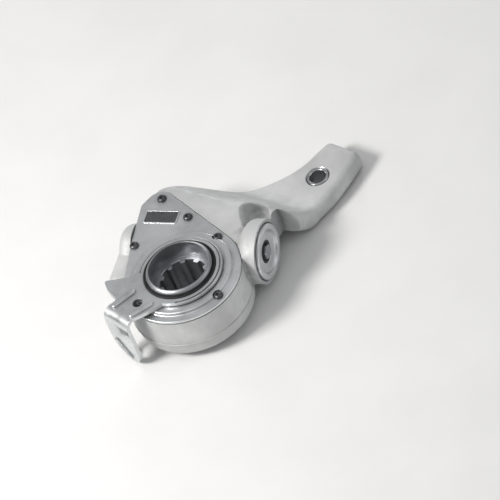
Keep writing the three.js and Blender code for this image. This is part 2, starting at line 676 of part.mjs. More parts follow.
function makeRack() {
  const pitch = Math.PI * PINION_MODULE;
  const halfTooth = 2.05 / 2;
  const addendum = 1.1;
  const dedendum = 1.7;
  const slope = Math.tan(PRESSURE_ANGLE);
  const halfTip = halfTooth - addendum * slope;
  const halfRoot = halfTooth + dedendum * slope;
  const tipZ = RACK_Z - addendum;
  const rootZ = RACK_Z + dedendum;
  const first = Math.ceil((RACK_TOOTHED_X[0] - WORM_DISTANCE) / pitch);
  const last = Math.floor((RACK_TOOTHED_X[1] - WORM_DISTANCE) / pitch);
  const outline = [[RACK_X[0], RACK_TOP_Z], [RACK_X[0], rootZ]];
  for (let k = first; k <= last; k++) {
    const x = WORM_DISTANCE + k * pitch;
    outline.push([x - halfRoot, rootZ], [x - halfTip, tipZ], [x + halfTip, tipZ], [x + halfRoot, rootZ]);
  }
  outline.push([RACK_X[1], rootZ], [RACK_X[1], RACK_TOP_Z]);
  // nose that reaches into the notch of the control disc
  const noseOutline = [
    [-2.5, 39.5], [2.5, 39.5], [2.5, 35], [1.7, 34.2], [-1.7, 34.2], [-2.5, 35]];
  const nose = prism(noseOutline, DISC_BOTTOM_Z + 0.1, RACK_TOP_Z);
  return union(prismAlongY(outline, 38.8, 48), nose);
}

const makeRackSpring = () => coil({
  radius: 2.6, wire: 0.5, z0: 54.9, z1: 73.9, turns: 5, stepsPerTurn: 10, sides: 5,
}).applyMatrix4(zToX);

// ---------------------------------------------------------------- control disc and control arm
const ARM_RING_R = 36.8;
const ARM_BEND = { x: -60.2, radius: 5.2, y0: -2.2, y1: 26.2 };   // radius is the inside one
const ARM_SLOT = { ends: [[19.6, 17.5], [10.2, 3.2]], radius: 3.6 };  // ends are y, z
const ARM_RIBS = [               // end points in plan
  [[-39.2, 17.6], [-57.9, 21]],
  [[-40.6, -5.6], [-57.6, 0.3]]];
// plan of the plate between ring and bend: x, y
const ARM_PLATE = [
  [-20, 30.6], [-26.5, 29.6], [-33.5, 37.5], [-42.4, 47.5], [-44.6, 47.4], [-48.9, 39.7],
  [-51.5, 27.3], [-53, 24.9], [-57, 25.6], [-60.3, 26.2], [-60.3, -2.2], [-55.5, -5],
  [-42, -11.2], [-35, -13.6], [-28, -23], [-20, -20], [-31, 0]];
// flange of the pointer: x, y
const ARM_FLANGE = [
  [-44.6, 47.4], [-48.9, 39.7], [-51.5, 27.3], [-49.3, 27], [-46.9, 38.9], [-43.2, 45.8]];
// leg below its top edge: y, z
const ARM_LEG = [
  [27, 36], [27, 18], [25.9, 11.5], [23.6, 6.2], [20, 1.5], [15.2, -2.2], [10, -3.6],
  [5.2, -2.9], [1.4, 0.2], [-0.9, 5], [-1.7, 12], [-2, 30]];

function makeDisc() {
  const hubTop = ARM_BOTTOM_Z - 0.3;
  const disc = revolve([
    [DISC_HUB_IN_R, DISC_BOTTOM_Z], [DISC_R, DISC_BOTTOM_Z], [DISC_R, DISC_TOP_Z],
    [DISC_HUB_OUT_R, DISC_TOP_Z], [DISC_HUB_OUT_R, hubTop], [DISC_HUB_IN_R, hubTop],
    [DISC_HUB_IN_R, DISC_BOTTOM_Z]], 48);
  const notch = box([-4.3, 4.3], [33, 45], [BELOW, DISC_TOP_Z + 0.001]);
  return cut(disc, notch.applyMatrix4(rackMatrix));
}

// ring around the wheel hub, stepped down inside for the wiper seal
function makeArmRing() {
  const inner = DISC_HUB_IN_R + 0.1;
  const step = DISC_HUB_OUT_R + 0.2;
  const stepZ = ARM_BOTTOM_Z + 1.2;
  return revolve([
    [inner, ARM_BOTTOM_Z], [ARM_RING_R, ARM_BOTTOM_Z], [ARM_RING_R, ARM_TOP_Z],
    [step, ARM_TOP_Z], [step, stepZ], [inner, stepZ], [inner, ARM_BOTTOM_Z]], 60);
}

// quarter turn from the plate down to the leg
function makeArmBend() {
  const { x, radius, y0, y1 } = ARM_BEND;
  const outerRadius = radius + ARM_TOP_Z - ARM_BOTTOM_Z;
  const centreZ = ARM_BOTTOM_Z - radius;
  return prismAlongY([
    ...arc(x, centreZ, outerRadius, Math.PI / 2, Math.PI, 6),
    ...arc(x, centreZ, radius, Math.PI, Math.PI / 2, 6)], y0, y1);
}

function makeArmLeg() {
  const { x, radius, y0, y1 } = ARM_BEND;
  const innerX = x - radius;
  const outerX = innerX - (ARM_TOP_Z - ARM_BOTTOM_Z);
  const topZ = ARM_BOTTOM_Z - radius + 0.1;
  const slot = slotOutline(...ARM_SLOT.ends, ARM_SLOT.radius);
  return prism([[y0, topZ], [y1, topZ], ...ARM_LEG], outerX, innerX, { holes: [slot] })
    .applyMatrix4(zToX);
}

function makeArmRib([start, end]) {
  const width = 5.2;
  const top = ARM_TOP_Z + 1.9;
  return slotLoft(start, end, width / 2, [
    [0, ARM_TOP_Z - 0.5], [-0.12 * width, top - 0.7], [-0.3 * width, top]]);
}

function makeArm() {
  const plate = cut(
    prism(ARM_PLATE, ARM_BOTTOM_Z, ARM_TOP_Z), rod(DISC_HUB_OUT_R + 0.8, BELOW, ABOVE, 40));
  const flange = prism(ARM_FLANGE, ARM_BOTTOM_Z - 2.6, ARM_TOP_Z - 0.2);
  const arm = union(
    makeArmRing(), plate, makeArmBend(), makeArmLeg(), ...ARM_RIBS.map(makeArmRib), flange);
  // access hole over the last screw
  const [screwX, screwY] = SCREW_PLACES.at(-1);
  return cut(arm, rod(SCREW_HEAD_R + 0.4, BELOW, ABOVE, 24).translate(screwX, screwY, 0));
}

function makeWiperSeal() {
  const bottom = ARM_BOTTOM_Z + 1.5;
  return revolve([
    [29, bottom], [31.35, bottom], [31.35, 50.3], [30.3, 51], [29, 50.6], [29, bottom]], 48);
}

// ---------------------------------------------------------------- scene
const MATERIALS = {
  cast: { color: 0xb9bcbd, roughness: 0.62, metalness: 0.55 },
  zinc: { color: 0xcfd3d6, roughness: 0.38, metalness: 0.85 },
  gear: { color: 0x8f9498, roughness: 0.42, metalness: 0.9 },
  dark: { color: 0x4d5054, roughness: 0.5, metalness: 0.85 },
  rubber: { color: 0x17181a, roughness: 0.8, metalness: 0 },
  fibre: { color: 0x4a5a50, roughness: 0.9, metalness: 0 },
  label: { color: 0xd9dcde, roughness: 0.45, metalness: 0.6 },
  bush: { color: 0x6f7478, roughness: 0.35, metalness: 0.9 },
};

const group = new THREE.Group();
const lever = new THREE.Group();
const wormLine = new THREE.Group();
const rackLine = new THREE.Group();
wormMatrix.decompose(wormLine.position, wormLine.quaternion, wormLine.scale);
rackMatrix.decompose(rackLine.position, rackLine.quaternion, rackLine.scale);
group.add(lever);
lever.add(wormLine, rackLine);

function place(parent, name, shape, material, at = [0, 0, 0]) {
  const surface = new THREE.MeshStandardMaterial(MATERIALS[material]);
  const mesh = new THREE.Mesh(weld(toGeometry(shape)), surface);
  mesh.name = name;
  mesh.position.set(...at);
  parent.add(mesh);
  return mesh;
}

place(lever, 'housing', makeHousing(), 'cast');
place(lever, 'lever_bushing', makeLeverBushing(), 'bush', [EYE_X, 0, 0]);
place(lever, 'cover_plate', makeCover(), 'zinc');
place(lever, 'cover_gasket', makeGasket(), 'fibre');
SCREW_PLACES.forEach(([x, y], i) => {
  place(lever, `cover_screw_${i + 1}`, makeScrew(), 'dark', [x, y, COVER_TOP_Z]);
});
const labelPlace = [...planPoint(-37.2, 60.6), COVER_TOP_Z + 0.08];
const label = place(lever, 'label_plate', makeLabel(), 'label', labelPlace);
label.rotation.z = WORM_ANGLE;
place(lever, 'housing_seal', makeHousingSeal(), 'rubber');
place(lever, 'worm_wheel', makeWheel(), 'gear');
place(lever, 'wheel_o_ring', makeWheelORing(), 'rubber');
place(lever, 'control_disc', makeDisc(), 'dark');
place(lever, 'control_arm', makeArm(), 'zinc');
place(lever, 'wiper_seal', makeWiperSeal(), 'rubber');

place(rackLine, 'rack', makeRack(), 'gear');
place(rackLine, 'rack_spring', makeRackSpring(), 'dark', [0, RACK_SPRING.y, RACK_SPRING.z]);

place(wormLine, 'worm_screw', makeWorm(), 'gear');
place(wormLine, 'worm_bush', makeWormBush(), 'bush');
place(wormLine, 'clutch_pinion', makePinion(), 'gear');
place(wormLine, 'one_way_spring', makeOneWaySpring(), 'dark');
place(wormLine, 'clutch_ring', makeClutchRing(), 'gear');
place(wormLine, 'thrust_washer', makeWasher(31, 32.8), 'bush');
place(wormLine, 'thrust_bearing', makeThrustBearing(), 'bush');
place(wormLine, 'spring_seat', makeWasher(35.8, 37.4), 'bush');
place(wormLine, 'clutch_spring', makeClutchSpring(), 'dark');
place(wormLine, 'end_cap', makeEndCap(), 'zinc');
place(wormLine, 'cap_o_ring', makeCapORing(), 'rubber');
place(wormLine, 'adjuster_seal', makeAdjusterSeal(), 'rubber');

// origin at the bottom centre of the whole object's box
group.updateMatrixWorld(true);
const bounds = new THREE.Box3().setFromObject(group, true);
const centre = bounds.getCenter(new THREE.Vector3());
lever.position.set(-centre.x, -centre.y, -bounds.min.z);
group.updateMatrixWorld(true);

export default group;
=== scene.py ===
# Automatic slack adjuster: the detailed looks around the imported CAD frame.
# Sizes are millimetres in the lever frame: the origin is on the worm wheel's axis at the drum's
# back face, +X runs to the lever's eye and +Z out through the cover.
# new_object() turns them into metres in the row frame.
import json
import math

import bmesh
import bpy
import numpy as np
from mathutils import Matrix, Vector


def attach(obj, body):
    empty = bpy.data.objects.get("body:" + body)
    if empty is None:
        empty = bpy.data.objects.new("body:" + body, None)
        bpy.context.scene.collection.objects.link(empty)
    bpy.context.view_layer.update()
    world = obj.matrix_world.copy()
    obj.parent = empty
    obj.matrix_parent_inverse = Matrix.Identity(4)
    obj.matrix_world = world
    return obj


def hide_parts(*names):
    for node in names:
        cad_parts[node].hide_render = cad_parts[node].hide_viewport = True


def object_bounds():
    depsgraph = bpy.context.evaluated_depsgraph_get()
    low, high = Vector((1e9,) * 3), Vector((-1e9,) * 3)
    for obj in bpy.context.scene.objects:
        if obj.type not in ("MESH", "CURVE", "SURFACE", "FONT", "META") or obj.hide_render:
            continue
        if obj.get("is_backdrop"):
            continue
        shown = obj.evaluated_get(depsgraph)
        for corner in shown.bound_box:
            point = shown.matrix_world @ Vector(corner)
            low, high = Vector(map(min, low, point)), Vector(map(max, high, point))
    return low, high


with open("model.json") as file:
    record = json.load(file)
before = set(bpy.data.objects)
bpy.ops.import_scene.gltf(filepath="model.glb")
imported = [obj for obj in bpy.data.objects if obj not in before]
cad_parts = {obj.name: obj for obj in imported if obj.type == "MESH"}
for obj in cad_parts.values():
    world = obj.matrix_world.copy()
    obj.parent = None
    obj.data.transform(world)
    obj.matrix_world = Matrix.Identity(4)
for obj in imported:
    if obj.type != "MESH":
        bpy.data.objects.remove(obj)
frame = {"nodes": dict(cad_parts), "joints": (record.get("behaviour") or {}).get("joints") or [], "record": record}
cad_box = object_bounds()
record = frame["record"]
SLOTS = {m["slot"]: m for m in record["materials"]}
slot_of = {s["node"]: s["material_slot"] for s in record["subparts"]}
body_of = {node: body for body, nodes in record["behaviour"]["bodies"].items() for node in nodes}
wheel_pos = {j["name"]: j for j in frame["joints"]}["worm_wheel_spin"]["pos_m"]

DEG = math.pi / 180

# ------------------------------------------------------------------ shared dimensions
WORM_Z = 24.8                      # height of the worm's axis
WORM_DIST = 41.4                   # worm axis to wheel axis
WORM_ANGLE = -61.2 * DEG           # direction of the worm's axis in the XY plane
EYE_X, EYE_R, BUSH_R = 152.4, 7.05, 9.6
DRUM_R, PARTING_Z, BODY_TOP = 51.2, 14.5, 39.8
COVER_Z0, COVER_Z1, COVER_HUB_Z, COVER_HOLE_R = 40.5, 43.0, 45.5, 32.0
COVER_LOBE = [(8, 62, 6.3), (37.2, 81.2, 6), (45.5, 74.8, 12.3)]      # circles (x, y, r)
SPLINE_MINOR, SPLINE_MAJOR = 18.0, 21.0
SPLINE_COUNT, SPLINE_WIDTH, SPLINE_PHASE = 10, 7.4, 67                # phase in degrees
WHEEL_TEETH, WORM_PITCH_R = 24, 8.0
WHEEL_PITCH_R = WORM_DIST - WORM_PITCH_R
WORM_LEAD = math.pi * 2 * WHEEL_PITCH_R / WHEEL_TEETH
WHEEL_TIP_R, WHEEL_ROOT_R = WHEEL_PITCH_R + 2.25, WHEEL_PITCH_R - 2.75
WORM_ADDENDUM, WORM_DEDENDUM = 2.2, 2.7
WORM_TIP_R, WORM_ROOT_R = WORM_PITCH_R + WORM_ADDENDUM, WORM_PITCH_R - WORM_DEDENDUM
PRESSURE_ANGLE = 20 * DEG
BORE_R, SPRING_BORE_R, CAP_BORE_R, CAP_R = 10.9, 14.2, 23.95, 23.6
BOSS_R, BOSS_END = 27.3, 58.8      # BOSS_END lies along the worm's axis
DISC_R, DISC_Z0, HUB_IN_R, HUB_OUT_R = 38.0, 34.4, 29.3, 31.4
ARM_Z0, ARM_Z1, ARM_RING_R = 46.1, 49.6, 36.8
SCREWS = [(49.6, 75.8), (47.2, 40.8), (0.1, 59.5), (45.3, 1.8), (0.3, -45.1), (-45.1, 5.8)]
SCREW_HEAD_R, SCREW_HEAD_H, SCREW_R, SCREW_TIP_Z = 4.0, 2.6, 2.45, 37.1
SCREW_HOLE_R = 2.8
NECK_TOP, TIP_TOP, TIP_BOTTOM = 42.5, 12.4, -6.0                      # heights of the lever


# ------------------------------------------------------------------ placing
def axes(x_axis, y_axis, z_axis, origin=(0, 0, 0)):
    """4x4 matrix from the directions of the three local axes."""
    matrix = np.eye(4)
    for column, axis in enumerate((x_axis, y_axis, z_axis, origin)):
        matrix[:3, column] = axis
    return matrix


def turn_z(angle, origin):
    c, s = math.cos(angle), math.sin(angle)
    return axes((c, s, 0), (-s, c, 0), (0, 0, 1), origin)


ORIGIN = np.array([wheel_pos[0], wheel_pos[1], wheel_pos[2] - WORM_Z / 1000.0])
along = np.array([math.cos(WORM_ANGLE), math.sin(WORM_ANGLE), 0.0])   # the worm's axis
across = np.array([-along[1], along[0], 0.0])                         # wheel axis to worm axis
up = np.array([0.0, 0.0, 1.0])
WORM = axes(across, up, along, across * WORM_DIST + up * WORM_Z)      # local z is the worm's axis
POCKET = axes(across, -along, up)


def worm_xy(t, q):
    """(x, y) of the point t along the worm's direction and q across it."""
    return (along[0] * t + across[0] * q, along[1] * t + across[1] * q)


# ------------------------------------------------------------------ mesh tools
def new_object(verts, faces, matrix=None):
    points = np.asarray(verts, float)
    if matrix is not None:
        points = points @ matrix[:3, :3].T + matrix[:3, 3]
    points = points / 1000.0 + ORIGIN
    mesh = bpy.data.meshes.new("part")
    mesh.from_pydata(points.tolist(), [], [list(map(int, face)) for face in faces])
    bm = bmesh.new()
    bm.from_mesh(mesh)
    bmesh.ops.remove_doubles(bm, verts=bm.verts, dist=1e-7)
    bmesh.ops.recalc_face_normals(bm, faces=bm.faces)
    bm.to_mesh(mesh)
    bm.free()
    return link(bpy.data.objects.new("part", mesh))


def link(ob):
    bpy.context.scene.collection.objects.link(ob)
    return ob


def stack(loops, matrix=None):
    """Loops of equal length, one above another, joined by quads and capped."""
    n = len(loops[0])
    verts = np.concatenate([np.asarray(loop, float) for loop in loops])
    faces = []
    for level in range(len(loops) - 1):
        a, b = level * n, (level + 1) * n
        for i in range(n):
            j = (i + 1) % n
            faces.append((a + i, a + j, b + j, b + i))
    faces.append(tuple(range(n - 1, -1, -1)))
    faces.append(tuple((len(loops) - 1) * n + i for i in range(n)))
    return new_object(verts, faces, matrix)


def lathe(profile, seg=96, matrix=None, shift=(0, 0, 0), closed=False):
    """Profile of (r, z) about z: its ends lie on the axis, or it is closed into a ring."""
    turns = np.arange(seg) * 2 * math.pi / seg
    c, s = np.cos(turns), np.sin(turns)
    verts, rows = [], []
    for r, z in profile:
        if r < 1e-9:
            rows.append([len(verts)] * seg)
            verts.append((shift[0], shift[1], z + shift[2]))
        else:
            rows.append(list(range(len(verts), len(verts) + seg)))
            verts += [(r * c[i] + shift[0], r * s[i] + shift[1], z + shift[2])
                      for i in range(seg)]
    faces = []
    for k in range(len(profile) if closed else len(profile) - 1):
        a, b = rows[k], rows[(k + 1) % len(profile)]
        for i in range(seg):
            j = (i + 1) % seg
            face = [a[i], a[j], b[j], b[i]]
            face = [v for q, v in enumerate(face) if v not in face[:q]]
            if len(face) > 2:
                faces.append(face)
    return new_object(verts, faces, matrix)


def rod(r, z0, z1, seg, shift=(0, 0, 0)):
    return lathe([(0, z0), (r, z0), (r, z1), (0, z1)], seg, shift=shift)


def flat(points, z):
    return [(x, y, z) for x, y in points]


def prism(points, z0, z1, matrix=None):
    return stack([flat(points, z0), flat(points, z1)], matrix)


def box(x0, x1, y0, y1, z0, z1, matrix):
    return prism([(x0, y0), (x1, y0), (x1, y1), (x0, y1)], z0, z1, matrix)


def pillow(circles, z0, z1, radius=9, steps=8, seg=160):
    """Hull of some circles, raised, with its lower and upper edges rounded."""
    quarter = [i / steps * math.pi / 2 for i in range(steps + 1)]
    loops = [flat(hull(circles, seg, radius * (1 - math.sin(a))),
                  z0 + radius * (1 - math.cos(a))) for a in quarter]
    loops += [flat(hull(circles, seg, radius * (1 - math.cos(a))),
                   z1 - radius * (1 - math.sin(a))) for a in quarter]
    return stack(loops)


# ------------------------------------------------------------------ outlines
CORNERS = ((1, 1, 0), (-1, 1, 90), (-1, -1, 180), (1, -1, 270))       # side x, side y, start degree


def polar(r, angle):
    return (r * math.cos(angle), r * math.sin(angle))


def turned(points, angle):
    c, s = math.cos(angle), math.sin(angle)
    return [(x * c - y * s, x * s + y * c) for x, y in points]


def hexagon(r, phase=0.0):
    return [polar(r, 2 * math.pi * i / 6 + phase) for i in range(6)]


def rounded_rect(width, height, r, n=8):
    points = []
    for sx, sy, start in CORNERS:
        for i in range(n + 1):
            x, y = polar(r, (start + 90 * i / n) * DEG)
            points.append((sx * (width / 2 - r) + x, sy * (height / 2 - r) + y))
    return points


def capsule(start, end, r, n):
    """Outline of a round-ended bar, n steps round each end."""
    angle = math.atan2(end[1] - start[1], end[0] - start[0])
    points = []
    for (cx, cy), first in ((start, angle + math.pi / 2), (end, angle - math.pi / 2)):
        for i in range(n + 1):
            x, y = polar(r, first + math.pi * i / n)
            points.append((cx + x, cy + y))
    return points


def hull(circles, seg, inset=0.0):
    """Convex hull of circles (x, y, r) by direction, so that an inset keeps the same points."""
    points = []
    for k in range(seg):
        ux, uy = polar(1, 2 * math.pi * (k + 0.5) / seg)
        x, y, r = max(circles, key=lambda q: q[0] * ux + q[1] * uy + q[2])
        points.append((x + (r - inset) * ux, y + (r - inset) * uy))
    return points


def cover_circles(grow=0.0):
    return [(0, 0, DRUM_R + grow)] + [(x, y, r + grow) for x, y, r in COVER_LOBE]


def fillet(profile, radii, n=4):
    """Rounds chosen corners of an (r, z) profile; radii = {index: radius}."""
    out = []
    for i, point in enumerate(profile):
        radius = radii.get(i)
        if not radius:
            out.append(point)
            continue
        before, corner, after = (np.array(q, float) for q in profile[i - 1:i + 2])
        u, v = before - corner, after - corner
        len_u, len_v = np.linalg.norm(u), np.linalg.norm(v)
        u, v = u / len_u, v / len_v
        d = min(radius, len_u * 0.48, len_v * 0.48)
        for k in range(n + 1):
            t = k / n
            out.append(tuple((1 - t) ** 2 * (corner + u * d) + 2 * t * (1 - t) * corner
                             + t * t * (corner + v * d)))
    return out


# ------------------------------------------------------------------ shaping tools
def evaluated(ob):
    bpy.context.view_layer.update()
    graph = bpy.context.evaluated_depsgraph_get()
    return bpy.data.meshes.new_from_object(ob.evaluated_get(graph))


def swap_mesh(ob, mesh):
    ob.modifiers.clear()
    old = ob.data
    ob.data = mesh
    bpy.data.meshes.remove(old)


def boolean(ob, tool, operation):
    modifier = ob.modifiers.new("b", "BOOLEAN")
    modifier.object = tool
    modifier.operation = operation
    modifier.solver = "MANIFOLD"
    mesh = evaluated(ob)
    if len(mesh.polygons) == 0 and operation != "INTERSECT":
        modifier.solver = "EXACT"      # for inputs that the manifold solver turns down
        mesh = evaluated(ob)
    swap_mesh(ob, mesh)
    tool_mesh = tool.data
    bpy.data.objects.remove(tool)
    bpy.data.meshes.remove(tool_mesh)
    return ob


def cut(ob, *tools):
    for tool in tools:
        boolean(ob, tool, "DIFFERENCE")
    return ob


def fuse(ob, *others):
    for other in others:
        boolean(ob, other, "UNION")
    return ob


def bevel(ob, width, seg, angle):
    modifier = ob.modifiers.new("edge", "BEVEL")
    modifier.width = width / 1000
    modifier.segments = seg
    modifier.limit_method = "ANGLE"
    modifier.angle_limit = angle * DEG
    modifier.use_clamp_overlap = True
    modifier.miter_outer = "MITER_ARC"
    modifier.harden_normals = False
    swap_mesh(ob, evaluated(ob))
    return ob


def smooth(ob, angle):
    """Shades smooth, with edges steeper than the angle kept sharp."""
    mesh = ob.data
    mesh.polygons.foreach_set("use_smooth", [True] * len(mesh.polygons))
    bm = bmesh.new()
    bm.from_mesh(mesh)
    for edge in bm.edges:
        edge.smooth = not (len(edge.link_faces) == 2 and edge.calc_face_angle(0) > angle * DEG)
    bm.to_mesh(mesh)
    bm.free()


def tidy(ob, dist=0.004):
    bm = bmesh.new()
    bm.from_mesh(ob.data)
    bmesh.ops.remove_doubles(bm, verts=bm.verts, dist=dist / 1000)
    bmesh.ops.dissolve_degenerate(bm, edges=bm.edges, dist=dist / 1000)
    bm.to_mesh(ob.data)
    bm.free()
    return ob


def paint(ob, *names):
    ob.data.materials.clear()
    for name in names:
        ob.data.materials.append(MATERIALS[name])


def use_second_material(ob, *rules):
    """On polygons where any rule of (centre in mm, normal) holds."""
    polygons = ob.data.polygons
    centre = np.empty(len(polygons) * 3, np.float32)
    normal = np.empty(len(polygons) * 3, np.float32)
    polygons.foreach_get("center", centre)
    polygons.foreach_get("normal", normal)
    centre = (centre.reshape(-1, 3) - ORIGIN) * 1000
    normal = normal.reshape(-1, 3)
    chosen = np.any([rule(centre, normal) for rule in rules], axis=0)
    polygons.foreach_set("material_index", chosen.astype(np.int32).tolist())


# ------------------------------------------------------------------ lever
# Drawn in (u, v): u runs along the lever, v across it, turned from (x, y) by LEVER_TURN.
LEVER_TURN = 14.3 * DEG
LEVER_END, LEVER_END_R, LEVER_EDGE_R = 178.9, 6.0, 6.2
LEVER_BOTTOM = np.array([          # u, height of the underside
    [50, 3], [62, 5.5], [72, 10], [80, 12.2], [85, 11.8], [90, 9.2], [96, 3.8], [101, -0.8],
    [106, -4], [112, -5.7], [118, -6], [200, -6]], float)
LEVER_SIDES = np.array([           # u, lowest v, highest v
    [48, -20, 60], [56, -24, 66], [64, -28, 71], [70, -31, 73.5], [75, -36, 73.5],
    [79, -40.5, 72], [83, -44.5, 69], [87, -47.6, 64.6], [91, -49.6, 59], [95, -51, 52.5],
    [99, -52, 45], [103, -52.8, 37.8], [107, -53.3, 30.8], [111, -53.8, 24.2],
    [115, -54.2, 18.2], [119, -54.8, 12.8], [123, -55.8, 8], [128, -57.2, 2.2],
    [134, -58.4, -3.6], [140, -59, -8.6], [146, -59.5, -12.6], [152, -59.8, -15.6],
    [158, -60.1, -17.9], [165, -60.3, -19.6], [171, -60.3, -21.0], [178.9, -60.0, -23.6]], float)


def lever_top(u):
    """Height of the top: flat, arc down, straight slope, arc out, flat."""
    slope, arc1_start, arc1_r, arc2_r, arc2_end = 47.5 * DEG, 70, 32, 20, 121
    arc1_end = arc1_start + arc1_r * math.sin(slope)
    arc2_start = arc2_end - arc2_r * math.sin(slope)
    if u <= arc1_start:
        return NECK_TOP
    if u <= arc1_end:
        return NECK_TOP - arc1_r + math.sqrt(arc1_r * arc1_r - (u - arc1_start) ** 2)
    high = NECK_TOP - arc1_r * (1 - math.cos(slope))
    low = TIP_TOP + arc2_r * (1 - math.cos(slope))
    if u <= arc2_start:
        return high + (low - high) * (u - arc1_end) / (arc2_start - arc1_end)
    if u <= arc2_end:
        return TIP_TOP + arc2_r - math.sqrt(max(0.0, arc2_r * arc2_r - (arc2_end - u) ** 2))
    return TIP_TOP


def lever_section(station, skew_station, low, high, inset, n=7):
    """Rounded section across the lever, skewed progressively towards the tip."""
    low, high, r = low + inset, high - inset, LEVER_EDGE_R - inset
    skew = max(0, min(1, (skew_station - 120) / 30))
    loop = []
    for side_v, side_z, start in CORNERS:
        for i in range(n + 1):
            dv, dz = polar(r, (start + 90 * i / n) * DEG)
            v = high - r + dv if side_v > 0 else low + r + dv
            u = station + 0.09 * (v + 40) * skew
            top = lever_top(u) - inset
            bottom = float(np.interp(u, LEVER_BOTTOM[:, 0], LEVER_BOTTOM[:, 1])) + inset
            z = top - r + dz if side_z > 0 else bottom + r + dz
            loop.append((*turned([(u, v)], LEVER_TURN)[0], z))
    return loop


def make_lever():
    stations = list(np.arange(48, 178.0, 1.6)) + [LEVER_END]
    low = np.interp(stations, LEVER_SIDES[:, 0], LEVER_SIDES[:, 1])
    high = np.interp(stations, LEVER_SIDES[:, 0], LEVER_SIDES[:, 2])
    for side in (low, high):           # take the corners out of the table's polyline
        for _ in range(4):
            side[1:-1] = 0.25 * side[0:-2] + 0.5 * side[1:-1] + 0.25 * side[2:]
    loops = [lever_section(u, u, a, b, 0.0) for u, a, b in zip(stations, low, high)]
    for k in range(1, 10):             # rounded end
        a = k * 10 * DEG
        loops.append(lever_section(LEVER_END + LEVER_END_R * math.sin(a), LEVER_END,
                                   low[-1], high[-1], LEVER_END_R * (1 - math.cos(a))))
    return stack(loops)


# ------------------------------------------------------------------ housing
TROUGH_START, TROUGH_END, TROUGH_R = (73.4, -20.0), (88.0, 2.0), 10.5
TROUGH_LAYERS = [                  # growth of the outline, z
    (-3.5, 20), (-2.2, 20.2), (-1, 21), (-0.3, 22.3), (0, 24), (0, 36.0), (0.2, 37.8),
    (0.9, 39.6), (1.9, 41.2), (3.2, 42.6), (3.2, 60)]
CAST_VOXEL = 0.00088               # metres
CAST_TIP_GAP = 0.00003             # metres, between the smoothed tip and the CAD box


def make_trough():
    return stack([flat(capsule(TROUGH_START, TROUGH_END, TROUGH_R + grow, 24), z)
                  for grow, z in TROUGH_LAYERS])


def soften(ob):
    """Runs the pieces of the casting together and blurs their edges."""
    remesh = ob.modifiers.new("REMESH", "REMESH")
    remesh.mode = "VOXEL"
    remesh.voxel_size = CAST_VOXEL
    blur = ob.modifiers.new("SMOOTH", "SMOOTH")
    blur.factor = 0.5
    blur.iterations = 5
    ob.modifiers.new("DECIMATE", "DECIMATE").ratio = 0.7
    mesh = evaluated(ob)
    swap_mesh(ob, mesh)
    co = np.empty(len(mesh.vertices) * 3, np.float32)
    mesh.vertices.foreach_get("co", co)
    co = co.reshape(-1, 3)
    co[:, 0] = np.minimum(co[:, 0], cad_box[1][0] - CAST_TIP_GAP)
    mesh.vertices.foreach_set("co", co.ravel())
    mesh.update()


def make_casting():
    drum = lathe(fillet([
        (0, 0.15), (47.2, 0.15), (49.8, 1.0), (51.2, 2.8), (52.0, 6), (52.75, PARTING_Z),
        (DRUM_R + 0.1, 37), (DRUM_R + 0.1, 42.5), (0, 42.5)], {2: 1.2}), 160)
    block = pillow([(*worm_xy(-60, 4), 11.5), (*worm_xy(-57, 46), 14), (6, 4, 44)], 0.6, 36.5)
    neck = pillow([(39, 76.5, 10.5), (44, 74, 13), (6, 4, 44)], 0.6, 41.4)
    flange = prism(hull(cover_circles(0.1), 200), 14, 42.5)
    boss = lathe([
        (0, -22), (17.4, -22), (17.4, 39.6), (19.4, 41.2), (23.0, 42.8), (25.8, 45.4),
        (BOSS_R, 49), (BOSS_R, 60.2), (0, 60.2)], 112, WORM)
    tube = lathe(fillet([
        (0, -69.8), (13, -69.8), (18, -68), (20.6, -63), (20.6, -26), (17.4, -20), (0, -20)],
        {1: 3, 2: 3, 3: 4, 4: 4}), 96, WORM)
    body = fuse(drum, block, neck, flange, make_lever())
    cut(body, make_trough())
    fuse(body, boss, tube)
    soften(body)
    # parting line left by the two halves of the mould, round the drum
    ridge = [(50, -0.8), (52.9, -0.6), (53.25, -0.3), (53.25, 0.3), (52.9, 0.6), (50, 0.8)]
    return fuse(body, lathe([(r, PARTING_Z + dz) for r, dz in ridge], 200, closed=True))


def wheel_cutters():
    """Seat of the cover, then the bores about the wheel's axis."""
    return [prism(hull(cover_circles(0.5), 220), BODY_TOP, 90),
            rod(WHEEL_TIP_R + 1, 9, 60, 128),
            rod(DISC_R + 1, DISC_Z0 - 0.5, 60, 128),
            lathe([(0, -10), (32.4, -10), (31.0, 1.1), (31, 4.7), (27.4, 4.7), (27.4, 20),
                   (0, 20)], 128)]


def worm_cutters():
    """Stepped bore of the worm, and a ring that faces off the boss."""
    mouth_r = CAP_BORE_R + 1.1
    inner_r = CAP_BORE_R - 3
    return [lathe([(0, -60), (BORE_R, -60), (BORE_R, 30), (SPRING_BORE_R, 30),
                   (SPRING_BORE_R, 50), (CAP_BORE_R, 50), (CAP_BORE_R, 57.9), (mouth_r, 58.9),
                   (mouth_r, 70), (0, 70)], 112, WORM),
            lathe([(inner_r, BOSS_END), (40, BOSS_END), (40, 80), (inner_r, 80)], 112, WORM,
                  closed=True)]


def eye_cutter():
    """Hole for the lever's bushing, chamfered at both faces."""
    r, wide_r = BUSH_R + 0.12, BUSH_R + 1.0
    return lathe([(0, -20), (wide_r, -20), (wide_r, TIP_BOTTOM + 0.05), (r, TIP_BOTTOM + 0.95),
                  (r, TIP_TOP - 0.95), (wide_r, TIP_TOP - 0.05), (wide_r, 40), (0, 40)],
                 96, shift=(EYE_X, 0, 0))


def screw_holes(z0):
    return [rod(SCREW_HOLE_R, z0, 60, 32, (x, y, 0)) for x, y in SCREWS]


